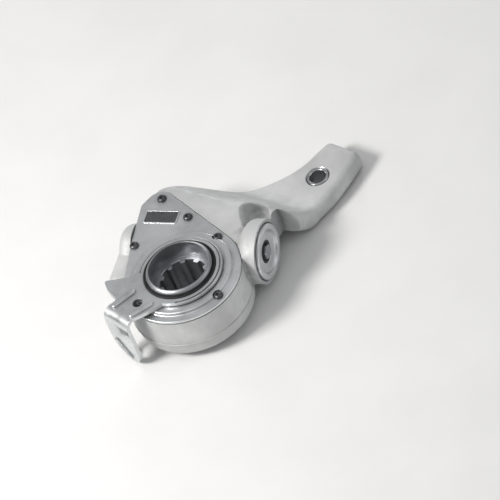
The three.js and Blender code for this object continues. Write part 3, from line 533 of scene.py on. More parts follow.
def make_housing():
    """Rough casting first, machined features after."""
    body = make_casting()
    pockets = [box(-19, 74, 37.4, 48.7, 29.8, 60, POCKET),
               box(-13, 17, 31, 40, DISC_Z0 - 0.5, 60, POCKET)]
    cut(body, fuse(*wheel_cutters(), *worm_cutters(), *pockets, eye_cutter()))
    cut(body, fuse(*screw_holes(SCREW_TIP_Z - 0.3)))
    tidy(body)
    paint(body, "cast", "machined")

    def wheel_r(c):
        return np.hypot(c[:, 0], c[:, 1])

    def worm_r(c):
        return np.hypot(c @ across - WORM_DIST, c[:, 2] - WORM_Z)

    use_second_material(
        body,
        # seat of the cover, back face, inside of the drum
        lambda c, n: (np.abs(c[:, 2] - BODY_TOP) < 0.05) & (n[:, 2] > 0.9),
        lambda c, n: (c[:, 2] < 0.35) & (c[:, 2] > -0.2) & (n[:, 2] < -0.97) & (wheel_r(c) < 51),
        lambda c, n: (wheel_r(c) < DISC_R + 1.2) & (c[:, 2] > -0.5) & (c[:, 2] < 60),
        # face and mouth of the worm's boss, eye of the lever
        lambda c, n: (np.abs(c @ along - BOSS_END) < 0.06) & (n @ along > 0.9),
        lambda c, n: (worm_r(c) < CAP_BORE_R + 1.3) & (c @ along > 49),
        lambda c, n: np.hypot(c[:, 0] - EYE_X, c[:, 1]) < BUSH_R + 1.05)
    return body


# ------------------------------------------------------------------ cover, screws and label
COVER_LAYERS = [                   # inset, z
    (0.25, COVER_Z0), (0.0, COVER_Z0 + 0.25), (0.0, COVER_Z1 - 0.7), (0.10, COVER_Z1 - 0.35),
    (0.3, COVER_Z1 - 0.1), (0.65, COVER_Z1)]
COVER_HUB = [                      # r, z
    (30, COVER_Z0 + 0.3), (44.0, COVER_Z0 + 0.3), (45.6, COVER_Z1 - 0.02),
    (45.0, COVER_Z1 + 0.08), (44.6, COVER_Z1 + 0.4), (43.9, COVER_HUB_Z - 0.75),
    (43.6, COVER_HUB_Z - 0.3), (43.0, COVER_HUB_Z), (33.0, COVER_HUB_Z),
    (32.4, COVER_HUB_Z - 0.2), (32.0, COVER_HUB_Z - 0.7), (30, COVER_HUB_Z - 0.7)]


def make_cover():
    cover = stack([flat(hull(cover_circles(), 240, inset), z) for inset, z in COVER_LAYERS])
    fuse(cover, lathe(COVER_HUB, 200, closed=True))
    under_hub = COVER_HUB_Z - 2.4
    cut(cover, rod(COVER_HOLE_R, 30, 60, 200),
        lathe([(0, 30), (41.8, 30), (40.6, under_hub), (0, under_hub)], 160))
    for (x, y), hole in zip(SCREWS, screw_holes(30)):
        seat_z = COVER_Z1 + 0.02
        head_room = lathe([(0, seat_z), (SCREW_HEAD_R + 0.4, seat_z), (SCREW_HEAD_R + 0.9, 60),
                           (0, 60)], 40, shift=(x, y, 0))
        cut(cover, hole, head_room)
    return bevel(tidy(cover), width=0.12, seg=2, angle=50)


def make_screw(x, y, turn):
    """Round-headed screw with a hexagon socket; z from the cover's top."""
    tip = SCREW_TIP_Z - COVER_Z1
    place = (x, y, COVER_Z1)
    profile = [
        (0, tip), (SCREW_R - 0.5, tip), (SCREW_R, tip + 0.6), (SCREW_R, 0.12),
        (SCREW_HEAD_R - 0.12, 0.12), (SCREW_HEAD_R, 0.3), (SCREW_HEAD_R, 1.0), (3.55, 1.85),
        (2.9, 2.35), (2.5, SCREW_HEAD_H), (0, SCREW_HEAD_H)]
    screw = lathe(fillet(profile, {6: 0.5, 7: 0.6, 8: 0.5}), 40, shift=place)
    socket_layers = [(1.55, 0.9), (1.85, 1.1), (1.85, 2.35), (2.25, 2.75), (2.25, 4)]   # r, z
    socket = stack([flat(hexagon(r), z) for r, z in socket_layers], turn_z(turn, place))
    return tidy(cut(screw, socket))


def make_label():
    """Plate with a raised rim round a sunken field."""
    base_z, field_z = COVER_Z1 + 0.08, 0.27
    place = turn_z(WORM_ANGLE, (*worm_xy(-37.2, 60.6), base_z))
    outer = rounded_rect(31, 14, 1.6)
    label = stack([flat(outer, 0), flat(outer, 0.33), flat(rounded_rect(30.7, 13.7, 1.5), 0.45)],
                  place)
    cut(label, stack([flat(rounded_rect(28.6, 11.6, 1.0), field_z),
                      flat(rounded_rect(28.9, 11.9, 1.1), 0.6)], place))
    tidy(label)
    paint(label, "label", "label_field")
    use_second_material(label, lambda c, n: (np.abs(c[:, 2] - (base_z + field_z)) < 0.03)
                        & (n[:, 2] > 0.9))
    return label


# ------------------------------------------------------------------ control arm
ARM_RING = [                       # r, z
    (HUB_IN_R + 0.1, ARM_Z0), (ARM_RING_R - 0.3, ARM_Z0), (ARM_RING_R, ARM_Z0 + 0.3),
    (ARM_RING_R, ARM_Z1 - 1.3), (ARM_RING_R - 0.15, ARM_Z1 - 0.95),
    (ARM_RING_R - 0.5, ARM_Z1 - 0.8), (ARM_RING_R - 1.35, ARM_Z1 - 0.8),
    (ARM_RING_R - 1.5, ARM_Z1 - 0.95), (ARM_RING_R - 1.6, ARM_Z1 - 1.5),
    (ARM_RING_R - 2.2, ARM_Z1 - 1.5), (ARM_RING_R - 2.3, ARM_Z1 - 0.5),
    (ARM_RING_R - 2.45, ARM_Z1 - 0.12), (ARM_RING_R - 2.75, ARM_Z1), (HUB_OUT_R + 0.7, ARM_Z1),
    (HUB_OUT_R + 0.35, ARM_Z1 - 0.15), (HUB_OUT_R + 0.2, ARM_Z1 - 0.5),
    (HUB_OUT_R + 0.2, ARM_Z0 + 1.2), (HUB_IN_R + 0.1, ARM_Z0 + 1.2)]
ARM_PLATE = [                      # x, y
    (-20, 30.6), (-26.5, 29.6), (-33.5, 37.5), (-42.4, 47.5), (-44.6, 47.4), (-48.9, 39.7),
    (-51.5, 27.3), (-53, 24.9), (-57, 25.6), (-60.3, 26.2), (-60.3, -2.2), (-55.5, -5.0),
    (-42, -11.2), (-35, -13.6), (-28, -23), (-20, -20), (-31, 0)]
ARM_LIP = [                        # x, y
    (-44.6, 47.4), (-48.9, 39.7), (-51.5, 27.3), (-49.3, 27.0), (-46.9, 38.9), (-43.2, 45.8)]
LEG_EDGE = [                       # y, z
    (27, 18), (25.9, 11.5), (23.6, 6.2), (20, 1.5), (15.2, -2.2), (10, -3.6), (5.2, -2.9),
    (1.4, 0.2), (-0.9, 5), (-1.7, 12), (-2.0, 30)]
ARM_THICK = ARM_Z1 - ARM_Z0
BEND_X, BEND_R = -60.2, 5.2        # where the bend starts, its inside radius
LEG_X1 = BEND_X - BEND_R           # face towards the wheel's axis
LEG_X0 = LEG_X1 - ARM_THICK        # face away from it
SLOT_START, SLOT_END, SLOT_R = (19.6, 17.5), (10.2, 3.2), 3.6         # y, z
ARM_RIBS = [((-39.2, 17.6), (-57.9, 21.0)), ((-40.6, -5.6), (-57.6, 0.3))]
ARM_RIB_WIDTH = 5.2
SECTION_XZ = axes((1, 0, 0), (0, 0, 1), (0, -1, 0))                   # drawn in x, z
SECTION_YZ = axes((0, 1, 0), (0, 0, 1), (1, 0, 0))                    # drawn in y, z


def make_bend():
    """Quarter turn from the plate down into the leg."""
    points = []
    for r, z, steps in ((BEND_R + ARM_THICK, ARM_Z1, range(17)),
                        (BEND_R, ARM_Z0, range(16, -1, -1))):
        for i in steps:
            a = math.pi / 2 * i / 16
            points.append((BEND_X - r * math.sin(a), z - r * (1 - math.cos(a))))
    return prism(points, -26.2, 2.2, SECTION_XZ)


def make_leg():
    edge = [LEG_EDGE[0]]
    for (y0, z0), (y1, z1) in zip(LEG_EDGE, LEG_EDGE[1:]):            # each corner cut once
        edge += [(y0 * 0.75 + y1 * 0.25, z0 * 0.75 + z1 * 0.25),
                 (y0 * 0.25 + y1 * 0.75, z0 * 0.25 + z1 * 0.75)]
    edge.append(LEG_EDGE[-1])
    top = ARM_Z0 - BEND_R + 0.1
    return prism([(-2.2, top), (26.2, top), (27, 36)] + edge, LEG_X0, LEG_X1, SECTION_YZ)


def leg_grooves(pitch=1.5, first=-0.4, half_length=6.6, half_width=0.8, depth=0.5, clear=0.3):
    """V grooves across the slot, in the leg's face away from the wheel's axis."""
    (y0, z0), (y1, z1) = SLOT_START, SLOT_END
    dy, dz = polar(1, math.atan2(z1 - z0, y1 - y0))
    faces = [(0, 1, 2), (5, 4, 3), (0, 3, 4, 1), (1, 4, 5, 2), (2, 5, 3, 0)]
    grooves = []
    for k in range(-1, 13):
        cy, cz = y0 + dy * (k * pitch + first), z0 + dz * (k * pitch + first)
        verts = []
        for side in (-half_length, half_length):
            y, z = cy - dz * side, cz + dy * side
            verts += [(LEG_X0 - clear, y - dy * half_width, z - dz * half_width),
                      (LEG_X0 - clear, y + dy * half_width, z + dz * half_width),
                      (LEG_X0 + depth, y, z)]
        grooves.append(new_object(verts, faces))
    return grooves


def make_rib(start, end, z0, z1):
    """Round-ended bar with a domed top."""
    loops = []
    for k in range(9):
        a = k / 8 * math.pi / 2
        r = ARM_RIB_WIDTH / 2 * (0.42 + 0.58 * math.cos(a))
        z = z0 + (z1 - z0) * (0.35 + 0.65 * math.sin(a)) if k else z0
        loops.append(flat(capsule(start, end, r, 14), z))
    return stack(loops)


def make_arm():
    arm = lathe(ARM_RING, 192, closed=True)
    plate = fuse(prism(ARM_PLATE, ARM_Z0, ARM_Z1), make_bend(), make_leg(),
                 prism(ARM_LIP, ARM_Z0 - 2.6, ARM_Z1 - 0.2))
    slot = capsule(SLOT_START, SLOT_END, SLOT_R, 16)
    cut(plate, rod(HUB_OUT_R + 0.8, 30, 60, 192),
        prism(slot, LEG_X0 - 5, LEG_X1 + 5, SECTION_YZ),
        rod(4.4, 30, 60, 64, (*SCREWS[5], 0)))                        # hole over the last screw
    bevel(plate, width=0.45, seg=3, angle=32)
    cut(plate, *leg_grooves())
    ribs = [make_rib(start, end, ARM_Z1 - 0.6, ARM_Z1 + 1.9) for start, end in ARM_RIBS]
    return tidy(fuse(arm, plate, *ribs))


# ------------------------------------------------------------------ worm wheel
WHEEL_HUB = [                      # r, z
    (0, 0.8), (25.6, 0.8), (26.6, 1.8), (26.6, 9.3), (28.7, 9.3), (28.7, 44.2), (27.3, 44.6),
    (27.3, 46.0), (28.7, 46.4), (28.7, 51.9), (28.1, 52.8), (26.9, 53.7), (26.0, 54), (0, 54)]
WHEEL_HUB_ROUNDS = {2: .4, 4: .3, 6: .2, 7: .2, 9: .5, 10: .6, 11: .5}
WHEEL_TOOTH_THICK = 3.85


def wheel_outline(flank_steps=6):
    """Involute teeth, one of their gaps facing the worm."""
    base_r = WHEEL_PITCH_R * math.cos(PRESSURE_ANGLE)

    def involute(r):
        a = math.acos(min(1, base_r / r))
        return math.tan(a) - a

    half_pitch = WHEEL_TOOTH_THICK / 2 / WHEEL_PITCH_R
    start_r = max(base_r, WHEEL_ROOT_R + 0.5)
    at_pitch = involute(WHEEL_PITCH_R)
    foot = half_pitch + at_pitch - involute(start_r)
    half = [(WHEEL_ROOT_R, foot + 0.05), (WHEEL_ROOT_R + 0.18, foot + 0.02)]   # r, half angle
    for i in range(flank_steps):
        r = start_r + (WHEEL_TIP_R - start_r) * i / (flank_steps - 1)
        half.append((r, half_pitch + at_pitch - involute(r)))
    phase = math.pi / WHEEL_TEETH + math.atan2(across[1], across[0])
    points = []
    for k in range(WHEEL_TEETH):
        centre = phase + 2 * math.pi * k / WHEEL_TEETH
        gap0 = centre + half[0][1]
        gap1 = centre + 2 * math.pi / WHEEL_TEETH - half[0][1]
        points += [polar(r, centre - h) for r, h in half]
        points += [polar(WHEEL_TIP_R, centre + half[-1][1] * f) for f in (-0.33, 0.33)]
        points += [polar(r, centre + h) for r, h in reversed(half)]
        points += [polar(WHEEL_ROOT_R, gap0 + (gap1 - gap0) * f) for f in (0.33, 0.67)]
    return points


def spline_outline(ease=0.012):
    """Bore with parallel-sided grooves, their corners eased."""
    def half_angle(r):
        return math.asin(SPLINE_WIDTH / 2 / r)

    minor, major = half_angle(SPLINE_MINOR), half_angle(SPLINE_MAJOR)
    side = [(SPLINE_MINOR, minor + ease), (SPLINE_MINOR + 0.2, minor),         # r, half angle
            (SPLINE_MAJOR - 0.5, half_angle(SPLINE_MAJOR - 0.5)), (SPLINE_MAJOR - 0.1, major - ease)]
    step = 360 / SPLINE_COUNT
    points = []
    for k in range(SPLINE_COUNT):
        centre = (SPLINE_PHASE + step * k) * DEG
        points += [polar(r, centre - h) for r, h in side]
        points += [polar(SPLINE_MAJOR, centre + (0.03 - major) * f) for f in (1, 0.33, -0.33, -1)]
        points += [polar(r, centre + h) for r, h in reversed(side)]
        land = step * DEG - 2 * (minor + ease)
        points += [polar(SPLINE_MINOR, centre + minor + ease + land * f)
                   for f in (0.25, 0.5, 0.75)]
    return points


def make_wheel():
    outline = wheel_outline()
    twist = (WORM_LEAD / 2 / math.pi / WORM_PITCH_R) / WHEEL_PITCH_R  # radians per mm
    wheel = stack([flat(turned(outline, twist * dz), WORM_Z + dz) for dz in np.linspace(-7, 7, 9)])
    fuse(wheel, lathe(fillet(WHEEL_HUB, WHEEL_HUB_ROUNDS), 160))
    splines = spline_outline()
    wide = [(x * 1.03, y * 1.03) for x, y in splines]
    bore = stack([flat(wide, -5), flat(wide, 0.6), flat(splines, 1.5), flat(splines, 37.3),
                  flat(wide, 38.1), flat(wide, 60)])
    counterbore = lathe([(0, 38), (24.6, 38), (25.0, 49.5), (25.6, 53.2), (26.1, 54.5),
                         (0, 54.5)], 160)
    return tidy(cut(wheel, bore, counterbore))


# ------------------------------------------------------------------ worm line (local z along it)
WORM_TOOTH_THICK = 3.5
WORM_SHAFT = [                     # r, z
    (0, -57), (4.4, -57), (5.0, -56.4), (5.0, -19.7), (BORE_R - 0.6, -19.7),
    (BORE_R - 0.6, -18.3), (5.0, -17.6), (5.0, 16.4), (9.6, 18.4), (9.6, 30.6), (6.4, 30.7),
    (6.4, 51.5), (0, 51.5)]


def worm_radius(turn):
    """Radius of the thread's section at a fraction of a turn."""
    slope = math.tan(PRESSURE_ANGLE)
    crest = (WORM_TOOTH_THICK - 2 * WORM_ADDENDUM * slope) / WORM_LEAD
    root = (WORM_TOOTH_THICK + 2 * WORM_DEDENDUM * slope) / WORM_LEAD
    d = abs(((turn % 1) + 1.5) % 1 - 0.5)
    if d <= crest / 2:
        return WORM_TIP_R
    if d >= root / 2:
        return WORM_ROOT_R
    return WORM_TIP_R + (WORM_ROOT_R - WORM_TIP_R) * (d - crest / 2) / ((root - crest) / 2)


def make_thread(half_length=16.2):
    section = [polar(worm_radius(f), 2 * math.pi * f) for f in np.linspace(-0.5, 0.5, 49)[:-1]]
    return stack([flat(turned(section, 2 * math.pi / WORM_LEAD * z + math.pi), z)
                  for z in np.linspace(-half_length, half_length, 90)], WORM)


def make_dog(angle, half_width=6.5):
    """One tooth of the ring of dogs; angles in degrees."""
    start, end = (angle - half_width) * DEG, (angle + half_width) * DEG
    turns = [start + (end - start) * i / 3 for i in range(4)]
    points = [polar(BORE_R - 0.7, a) for a in turns] + [polar(6.2, a) for a in reversed(turns)]
    return prism(points, -21.3, -19.2, WORM)


def make_worm():
    hex_end = prism(hexagon(6.45, math.pi / 6), 51, 60.2, WORM)
    dome = lathe([(0, 50), (7.5, 50), (7.5, 58.9), (6.6, 59.5), (5.5, 60.2), (0, 60.2)], 64, WORM)
    boolean(hex_end, dome, "INTERSECT")
    shaft = lathe(fillet(WORM_SHAFT, {5: .3}), 64, WORM)
    worm = fuse(make_thread(), shaft, hex_end, *[make_dog(30 * k) for k in range(12)])
    centre_mark = lathe([(0, 58.2), (1.9, 60.4), (0, 60.4)], 32, WORM)
    return tidy(cut(worm, centre_mark))


def make_cap():
    profile = [
        (7.6, 53.6), (12, 50.4), (CAP_R - 0.3, 50.4), (CAP_R, 50.7), (CAP_R, 52.6), (21.8, 53),
        (21.8, 55), (CAP_R, 55.4), (CAP_R, 59.9), (22.9, 60.8), (18.7, 60.8), (17.2, 58.2),
        (9.9, 58.2), (9.6, 57.9), (9.6, 56.2), (7.6, 56.2)]
    rounds = {6: .2, 8: 0.9, 9: 1.0, 10: 0.9, 11: 1.6}
    return lathe(fillet(profile, rounds, 5), 128, WORM, closed=True)


# ------------------------------------------------------------------ bushing and seals
def make_bushing():
    low, high = TIP_BOTTOM - 0.2, TIP_TOP + 0.25
    return lathe([
        (EYE_R, TIP_BOTTOM + 0.5), (EYE_R + 0.6, low), (BUSH_R - 0.5, low),
        (BUSH_R, TIP_BOTTOM + 0.3), (BUSH_R, TIP_TOP - 0.25), (BUSH_R - 0.5, high),
        (EYE_R + 0.6, high), (EYE_R, TIP_TOP - 0.35)], 96, shift=(EYE_X, 0, 0), closed=True)


def make_wiper_seal():
    return lathe([
        (29.0, ARM_Z0 + 1.5), (31.35, ARM_Z0 + 1.5), (31.35, 49.9), (31.1, 50.25),
        (30.75, 50.35), (30.5, 50.1), (30.3, 49.6), (30.05, 49.5), (29.85, 49.8), (29.75, 50.5),
        (29.55, 50.8), (29.25, 50.7), (29.0, 50.3)], 192, closed=True)


def make_housing_seal():
    return lathe([
        (26.9, 1.3), (27.2, 0.9), (28.2, 0.9), (28.5, 1.6), (29.0, 1.6), (29.3, 0.9),
        (30.3, 0.9), (30.6, 1.2), (30.6, 4.0), (30.3, 4.3), (27.2, 4.3), (26.9, 4.0)],
        160, closed=True)


def make_adjuster_seal():
    return lathe(fillet([(6.75, 56.5), (9.3, 56.5), (9.3, 57.6), (8.9, 57.9), (7.4, 57.9),
                         (6.75, 57.3)], {3: .2, 4: .4}), 96, WORM, closed=True)


def make_o_ring(ring_r, z, r, seg, matrix=None, n=14):
    section = [polar(r, 2 * math.pi * i / n) for i in range(n)]
    return lathe([(ring_r + dr, z + dz) for dr, dz in section], seg, matrix, closed=True)


# ------------------------------------------------------------------ materials
class Shader:
    """A material and short ways to add nodes to it; lengths in millimetres."""
    def __init__(self, name):
        self.material = bpy.data.materials.new(name)
        self.material.use_nodes = True
        self.tree = self.material.node_tree
        self.surface = self.tree.nodes["Principled BSDF"]

    def node(self, kind, **settings):
        node = self.tree.nodes.new(kind)
        for key, value in settings.items():
            setattr(node, key, value)
        return node

    def link(self, a, b):
        self.tree.links.new(a, b)

    def coords(self):
        source = self.node("ShaderNodeTexCoord")
        mapping = self.node("ShaderNodeMapping")
        self.link(source.outputs["Object"], mapping.inputs["Vector"])
        for i in range(3):
            mapping.inputs["Location"].default_value[i] = -float(ORIGIN[i])
        return mapping.outputs["Vector"]

    def noise(self, vector, size, detail=3.0, rough=0.55):
        node = self.node("ShaderNodeTexNoise")
        self.link(vector, node.inputs["Vector"])
        node.inputs["Scale"].default_value = 1000.0 / size
        node.inputs["Detail"].default_value = detail
        node.inputs["Roughness"].default_value = rough
        return node.outputs["Fac"]

    def ramp(self, value, start, end, to=(0.0, 1.0)):
        """Clamped map of start..end onto the two values of to."""
        node = self.node("ShaderNodeMapRange")
        node.clamp = True
        self.link(value, node.inputs["Value"])
        for key, number in zip(("From Min", "From Max", "To Min", "To Max"), (start, end, *to)):
            node.inputs[key].default_value = number
        return node.outputs["Result"]

    def mix(self, factor, a, b):
        node = self.node("ShaderNodeMix", data_type="RGBA")
        self.link(factor, node.inputs["Factor"])
        for name, value in (("A", a), ("B", b)):
            socket = [q for q in node.inputs if q.name == name and q.type == "RGBA"][0]
            if isinstance(value, tuple):
                socket.default_value = (*value, 1.0)
            else:
                self.link(value, socket)
        return [q for q in node.outputs if q.type == "RGBA"][0]

    def math(self, operation, *values):
        node = self.node("ShaderNodeMath", operation=operation)
        for i, value in enumerate(values):
            if isinstance(value, (int, float)):
                node.inputs[i].default_value = value
            else:
                self.link(value, node.inputs[i])
        return node.outputs[0]

    def bump(self, height, depth, strength=1.0, after=None):
        node = self.node("ShaderNodeBump")
        node.inputs["Distance"].default_value = depth / 1000.0
        node.inputs["Strength"].default_value = strength
        self.link(height, node.inputs["Height"])
        if after is not None:
            self.link(after, node.inputs["Normal"])
        return node.outputs["Normal"]

    def occlusion(self, reach):
        node = self.node("ShaderNodeAmbientOcclusion")
        node.samples = 4
        node.inputs["Distance"].default_value = reach / 1000.0
        return node.outputs["AO"]

    def rounded(self, radius):
        """(normal with the sharp edges rounded, mask that is 1 on those edges)"""
        node = self.node("ShaderNodeBevel")
        node.samples = 4
        node.inputs["Radius"].default_value = radius / 1000.0
        geometry = self.node("ShaderNodeNewGeometry")
        dot = self.node("ShaderNodeVectorMath", operation="DOT_PRODUCT")
        self.link(node.outputs["Normal"], dot.inputs[0])
        self.link(geometry.outputs["Normal"], dot.inputs[1])
        return node.outputs["Normal"], self.ramp(dot.outputs["Value"], 0.985, 0.90)

    def turning_marks(self, vector, pitch):
        """Wave of the distance from the wheel's axis, drifting with height."""
        parts = self.node("ShaderNodeSeparateXYZ")
        self.link(vector, parts.inputs[0])
        x = self.math("SUBTRACT", parts.outputs[0], 0.0)
        y = self.math("SUBTRACT", parts.outputs[1], 0.0)
        # made in this order: y squared, x squared, as the arguments are numbered
        squares = self.math("ADD", self.math("MULTIPLY", x, x), self.math("MULTIPLY", y, y))
        r = self.math("SQRT", squares)
        drift = self.math("ADD", r, self.math("MULTIPLY", parts.outputs[2], 0.83))
        wave = self.math("MULTIPLY", drift, 2 * math.pi * 1000.0 / pitch)
        return self.math("SINE", wave)


OWN_COLOURS = {"machined": (0.60, 0.61, 0.62), "label_field": (0.055, 0.058, 0.062)}
# dark colour of the painted shade laid into corners and gaps
PAINTED_SHADE_COLOUR = (0.055, 0.05, 0.045)
METALS = {
    # roughness, its spread, metallic, grain size, grain depth, painted shade in corners, its reach, wear, its
    # colour
    "cast": (0.62, 0.10, 0.35, 0.8, 0.09, 0.7, 7.0, 0.35, (0.80, 0.80, 0.80)),
    "machined": (0.34, 0.07, 0.9, 1.2, 0.01, 0.35, 4.0, 0.2, (0.8, 0.8, 0.8)),
    "zinc_cover": (0.36, 0.10, 0.92, 1.4, 0.02, 0.75, 4.0, 0.35, (0.86, 0.86, 0.87)),
    "zinc_arm": (0.34, 0.11, 0.92, 1.2, 0.02, 0.75, 3.5, 0.45, (0.85, 0.85, 0.86)),
    "screw_steel": (0.40, 0.12, 0.7, 0.8, 0.02, 0.6, 2.0, 0.5, (0.40, 0.40, 0.40)),
    "gear_steel": (0.38, 0.08, 0.88, 1.0, 0.01, 0.45, 3.5, 0.5, (0.7, 0.7, 0.7)),
    "dark_steel": (0.48, 0.1, 0.6, 0.8, 0.02, 0.4, 2.0, 0.5, (0.35, 0.35, 0.35)),
    "bearing_steel": (0.27, 0.07, 0.92, 1.0, 0.008, 0.4, 2.0, 0.3, (0.75, 0.75, 0.75)),
    "label": (0.36, 0.06, 0.85, 1.0, 0.006, 0.3, 1.2, 0.2, (0.85, 0.85, 0.85)),
}
TURNED = {"machined": (0.42, 0.004), "gear_steel": (0.5, 0.005)}      # pitch, depth of the marks
STREAKED = ("zinc_cover", "zinc_arm", "label")


def base_colour(name):
    return OWN_COLOURS.get(name) or tuple(SLOTS[name]["base_color"][:3])


def shade(colour, factor):
    return tuple(c * factor for c in colour)


def metal(name):
    """Blotched metal with painted shade darkening its corners and bright worn edges."""
    rough, spread, metallic, grain_size, grain, shade_strength, shade_reach, wear, wear_colour = METALS[name]
    base = base_colour(name)
    s = Shader(name)
    coords = s.coords()
    big = s.noise(coords, size=38)
    mid = s.noise(coords, size=6.5, detail=4)
    fine = s.noise(coords, size=grain_size, rough=0.6)
    light = tuple(min(1, c) for c in shade(base, 1.07))
    colour = s.mix(s.ramp(big, 0.32, 0.68), shade(base, 0.80), light)
    blotch = s.math("MULTIPLY", s.ramp(mid, 0.45, 0.75), 0.35)
    colour = s.mix(blotch, colour, shade(base, 0.86))
    # painted shade: the colour darkens towards a dark brown where the occlusion finds surfaces close by, in
    # corners, creases and gaps, blotched by noise; the same mask also roughens the surface
    occlusion = s.occlusion(shade_reach)
    corners = s.ramp(occlusion, 0.92, 0.35)
    corner_shade = s.math("MULTIPLY", s.ramp(mid, 0.25, 0.65, to=(0.55, 1.0)), shade_strength)
    corner_shade = s.math("MULTIPLY", corners, corner_shade)
    colour = s.mix(corner_shade, colour, PAINTED_SHADE_COLOUR)
    normal, edges = s.rounded(radius=0.45)
    worn = s.math("MULTIPLY", s.ramp(mid, 0.35, 0.6, to=(0.35, 1.0)), wear)
    worn = s.math("MULTIPLY", edges, worn)
    s.link(s.mix(worn, colour, wear_colour), s.surface.inputs["Base Color"])
    varied = s.ramp(mid, 0.3, 0.7, to=(rough - spread, rough + spread))
    roughness = s.math("ADD", varied, s.math("MULTIPLY", corner_shade, 0.35))
    roughness = s.math("SUBTRACT", roughness, s.math("MULTIPLY", worn, 0.15))
    s.link(roughness, s.surface.inputs["Roughness"])
    s.surface.inputs["Metallic"].default_value = metallic
    normal = s.bump(fine, depth=grain, strength=0.9, after=normal)
    normal = s.bump(mid, depth=grain * 1.2, strength=0.5, after=normal)
    if name in STREAKED:
        stretch = s.node("ShaderNodeMapping")
        s.link(coords, stretch.inputs["Vector"])
        stretch.inputs["Scale"].default_value = (1.0, 14.0, 14.0)
        stretch.inputs["Rotation"].default_value = (0, 0, 0.5)
        streaks = s.noise(stretch.outputs["Vector"], size=6.0, detail=4, rough=0.6)
        normal = s.bump(streaks, depth=0.012, strength=0.7, after=normal)
    if name in TURNED:
        pitch, depth = TURNED[name]
        normal = s.bump(s.turning_marks(coords, pitch), depth=depth, after=normal)
    s.link(normal, s.surface.inputs["Normal"])
    return s.material


def soft(name, rough, grain_size=0.8, grain=0.03, dust=(0.16, 0.155, 0.15), dust_amount=0.25):
    """Dull, slightly dusty rubber, fibre or paint."""
    base = base_colour(name)
    s = Shader(name)
    coords = s.coords()
    mid = s.noise(coords, size=5.0, detail=4)
    fine = s.noise(coords, size=grain_size, rough=0.6)
    colour = s.mix(s.ramp(mid, 0.3, 0.7), shade(base, 0.8), shade(base, 1.25))
    patches = s.ramp(s.noise(coords, size=11, detail=4), 0.5, 0.8)
    colour = s.mix(s.math("MULTIPLY", patches, dust_amount), colour, dust)
    s.link(colour, s.surface.inputs["Base Color"])
    roughness = s.ramp(mid, 0.3, 0.7, to=(rough - 0.1, rough + 0.1))
    s.link(roughness, s.surface.inputs["Roughness"])
    s.surface.inputs["Specular IOR Level"].default_value = 0.4
    s.link(s.bump(fine, depth=grain, strength=0.8), s.surface.inputs["Normal"])
    return s.material


MATERIALS = {name: metal(name) for name in METALS}
MATERIALS["rubber"] = soft("rubber", rough=0.62)
MATERIALS["gasket_fibre"] = soft("gasket_fibre", rough=0.85, grain_size=0.5, grain=0.06)
MATERIALS["label_field"] = soft("label_field", rough=0.45, grain_size=0.7, grain=0.012,
                                dust=(0.2, 0.2, 0.2), dust_amount=0.12)


# ------------------------------------------------------------------ the pieces
def install(ob, node, angle=33.0):
    """Finishes a piece and hands it over in place of its CAD node."""
    smooth(ob, angle)
    ob.name = node + "_visual"
    if node != "housing":
        modifier = ob.modifiers.new("normals", "WEIGHTED_NORMAL")
        modifier.keep_sharp = True
        modifier.weight = 60
    if not any(ob.data.materials):
        paint(ob, slot_of[node])
    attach(ob, body_of[node])
    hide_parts(node)


install(make_housing(), "housing", 30)
install(make_cover(), "cover_plate", 30)
for i, (x, y) in enumerate(SCREWS):
    install(make_screw(x, y, turn=0.4 + 1.7 * i), f"cover_screw_{i + 1}")
install(make_label(), "label_plate")
install(make_arm(), "control_arm", 30)
install(make_wheel(), "worm_wheel", 30)
install(make_worm(), "worm_screw", 30)
install(make_cap(), "end_cap")
install(make_bushing(), "lever_bushing")
install(make_wiper_seal(), "wiper_seal", 50)
install(make_housing_seal(), "housing_seal", 50)
install(make_adjuster_seal(), "adjuster_seal", 50)
install(make_o_ring(28.25, 45.3, 0.68, 160), "wheel_o_ring", 60)
install(make_o_ring(22.85, 54, 0.8, 128, WORM), "cap_o_ring", 60)
for node, ob in frame["nodes"].items():        # CAD pieces keep their shape, with a finish
    paint(ob, slot_of[node])
    smooth(ob, 32)


# ------------------------------------------------------------------ floor, camera, light (metres)
def make_floor(half=30.0, z=-0.0004):
    """Pale floor, clear from below so that the underside can be looked at."""
    mesh = bpy.data.meshes.new("floor")
    mesh.from_pydata([(-half, -half, z), (half, -half, z), (half, half, z), (-half, half, z)],
                     [], [(0, 1, 2, 3)])
    floor = link(bpy.data.objects.new("floor", mesh))
    s = Shader("floor")
    patches = s.ramp(s.noise(s.coords(), size=90), 0.35, 0.65)
    s.link(s.mix(patches, (0.80, 0.80, 0.795), (0.83, 0.83, 0.825)),
           s.surface.inputs["Base Color"])
    s.surface.inputs["Roughness"].default_value = 0.85
    clear = s.node("ShaderNodeBsdfTransparent")
    geometry = s.node("ShaderNodeNewGeometry")
    choose = s.node("ShaderNodeMixShader")
    s.link(geometry.outputs["Backfacing"], choose.inputs[0])
    s.link(s.surface.outputs[0], choose.inputs[1])
    s.link(clear.outputs[0], choose.inputs[2])
    s.link(choose.outputs[0], s.tree.nodes["Material Output"].inputs["Surface"])
    mesh.materials.append(s.material)
    floor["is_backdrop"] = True


def make_camera(view_width=0.4132, lens=600.0, sensor=36.0):
    """Long lens, far enough back to see view_width at the target."""
    target = Vector((np.array([50.3, -32.8, 42.5]) / 1000.0 + ORIGIN).tolist())
    right = Vector((0.680, -0.670, -0.2967))
    back = Vector((-0.3099, -0.6299, 0.712)).normalized()
    right = (right - back * right.dot(back)).normalized()
    upward = back.cross(right).normalized()
    camera = link(bpy.data.objects.new("camera", bpy.data.cameras.new("camera")))
    camera.data.sensor_width = sensor
    camera.data.lens = lens
    matrix = Matrix((right, upward, back)).transposed().to_4x4()
    matrix.translation = target + back * (view_width * lens / sensor)
    camera.matrix_world = matrix
    camera.data.clip_start = 0.05
    camera.data.clip_end = 60.0
    bpy.context.scene.camera = camera


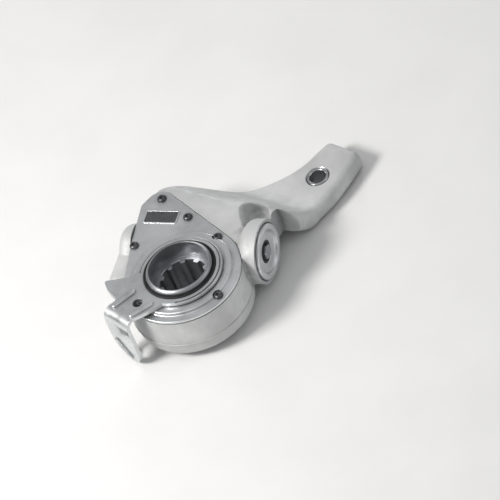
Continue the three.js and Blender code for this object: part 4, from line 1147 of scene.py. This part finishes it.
def area_light(name, place, size, watts, colour=(1, 1, 1), target=(0.0, 0.0, 0.03)):
    light = bpy.data.lights.new(name, "AREA")
    light.shape = "DISK"
    light.size = size
    light.energy = watts
    light.color = colour
    ob = link(bpy.data.objects.new(name, light))
    ob.location = place
    ob.rotation_euler = (Vector(target) - Vector(place)).to_track_quat("-Z", "Y").to_euler()
    ob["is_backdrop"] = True


SKY_FLOOR = (0.75, 0.75, 0.75, 1)              # colour at both ends of the ramp
SKY_BANDS = [(0.49, 0.60), (0.55, 0.16), (0.68, 0.30), (0.80, 0.62), (0.88, 0.50)]  # place, grey


def make_world():
    """Studio sky of grey bands by height."""
    world = bpy.data.worlds.new("studio")
    bpy.context.scene.world = world
    world.use_nodes = True
    nodes, links = world.node_tree.nodes, world.node_tree.links
    background = nodes["Background"]
    coords = nodes.new("ShaderNodeTexCoord")
    parts = nodes.new("ShaderNodeSeparateXYZ")
    ramp = nodes.new("ShaderNodeValToRGB")
    height = nodes.new("ShaderNodeMapRange")
    height.inputs["From Min"].default_value = -1
    links.new(coords.outputs["Generated"], parts.inputs[0])
    links.new(parts.outputs[2], height.inputs["Value"])
    links.new(height.outputs[0], ramp.inputs[0])
    stops = ramp.color_ramp.elements
    for i in range(2):
        stops[i].position = float(i)
        stops[i].color = SKY_FLOOR
    for place, grey in SKY_BANDS:
        stops.new(place).color = (grey, grey, grey * 1.01, 1)
    links.new(ramp.outputs[0], background.inputs["Color"])
    background.inputs["Strength"].default_value = 0.8


make_floor()
make_camera()
area_light("key", (-0.85, 0.25, 0.95), size=0.42, watts=14.0, colour=(1.0, 0.985, 0.96))
area_light("fill", (0.9, -0.9, 0.8), size=0.9, watts=1.8, colour=(0.96, 0.98, 1.0))
area_light("rim", (0.85, 0.75, 0.35), size=0.4, watts=1.6)
make_world()
bpy.context.scene.view_settings.view_transform = "Standard"


def plain(value):
    """Nested lists of rounded numbers."""
    try:
        return [plain(item) for item in value]
    except TypeError:                          # a number cannot be walked through
        return round(float(value), 6)


{"cad": plain(cad_box), "visual": plain(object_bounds())}
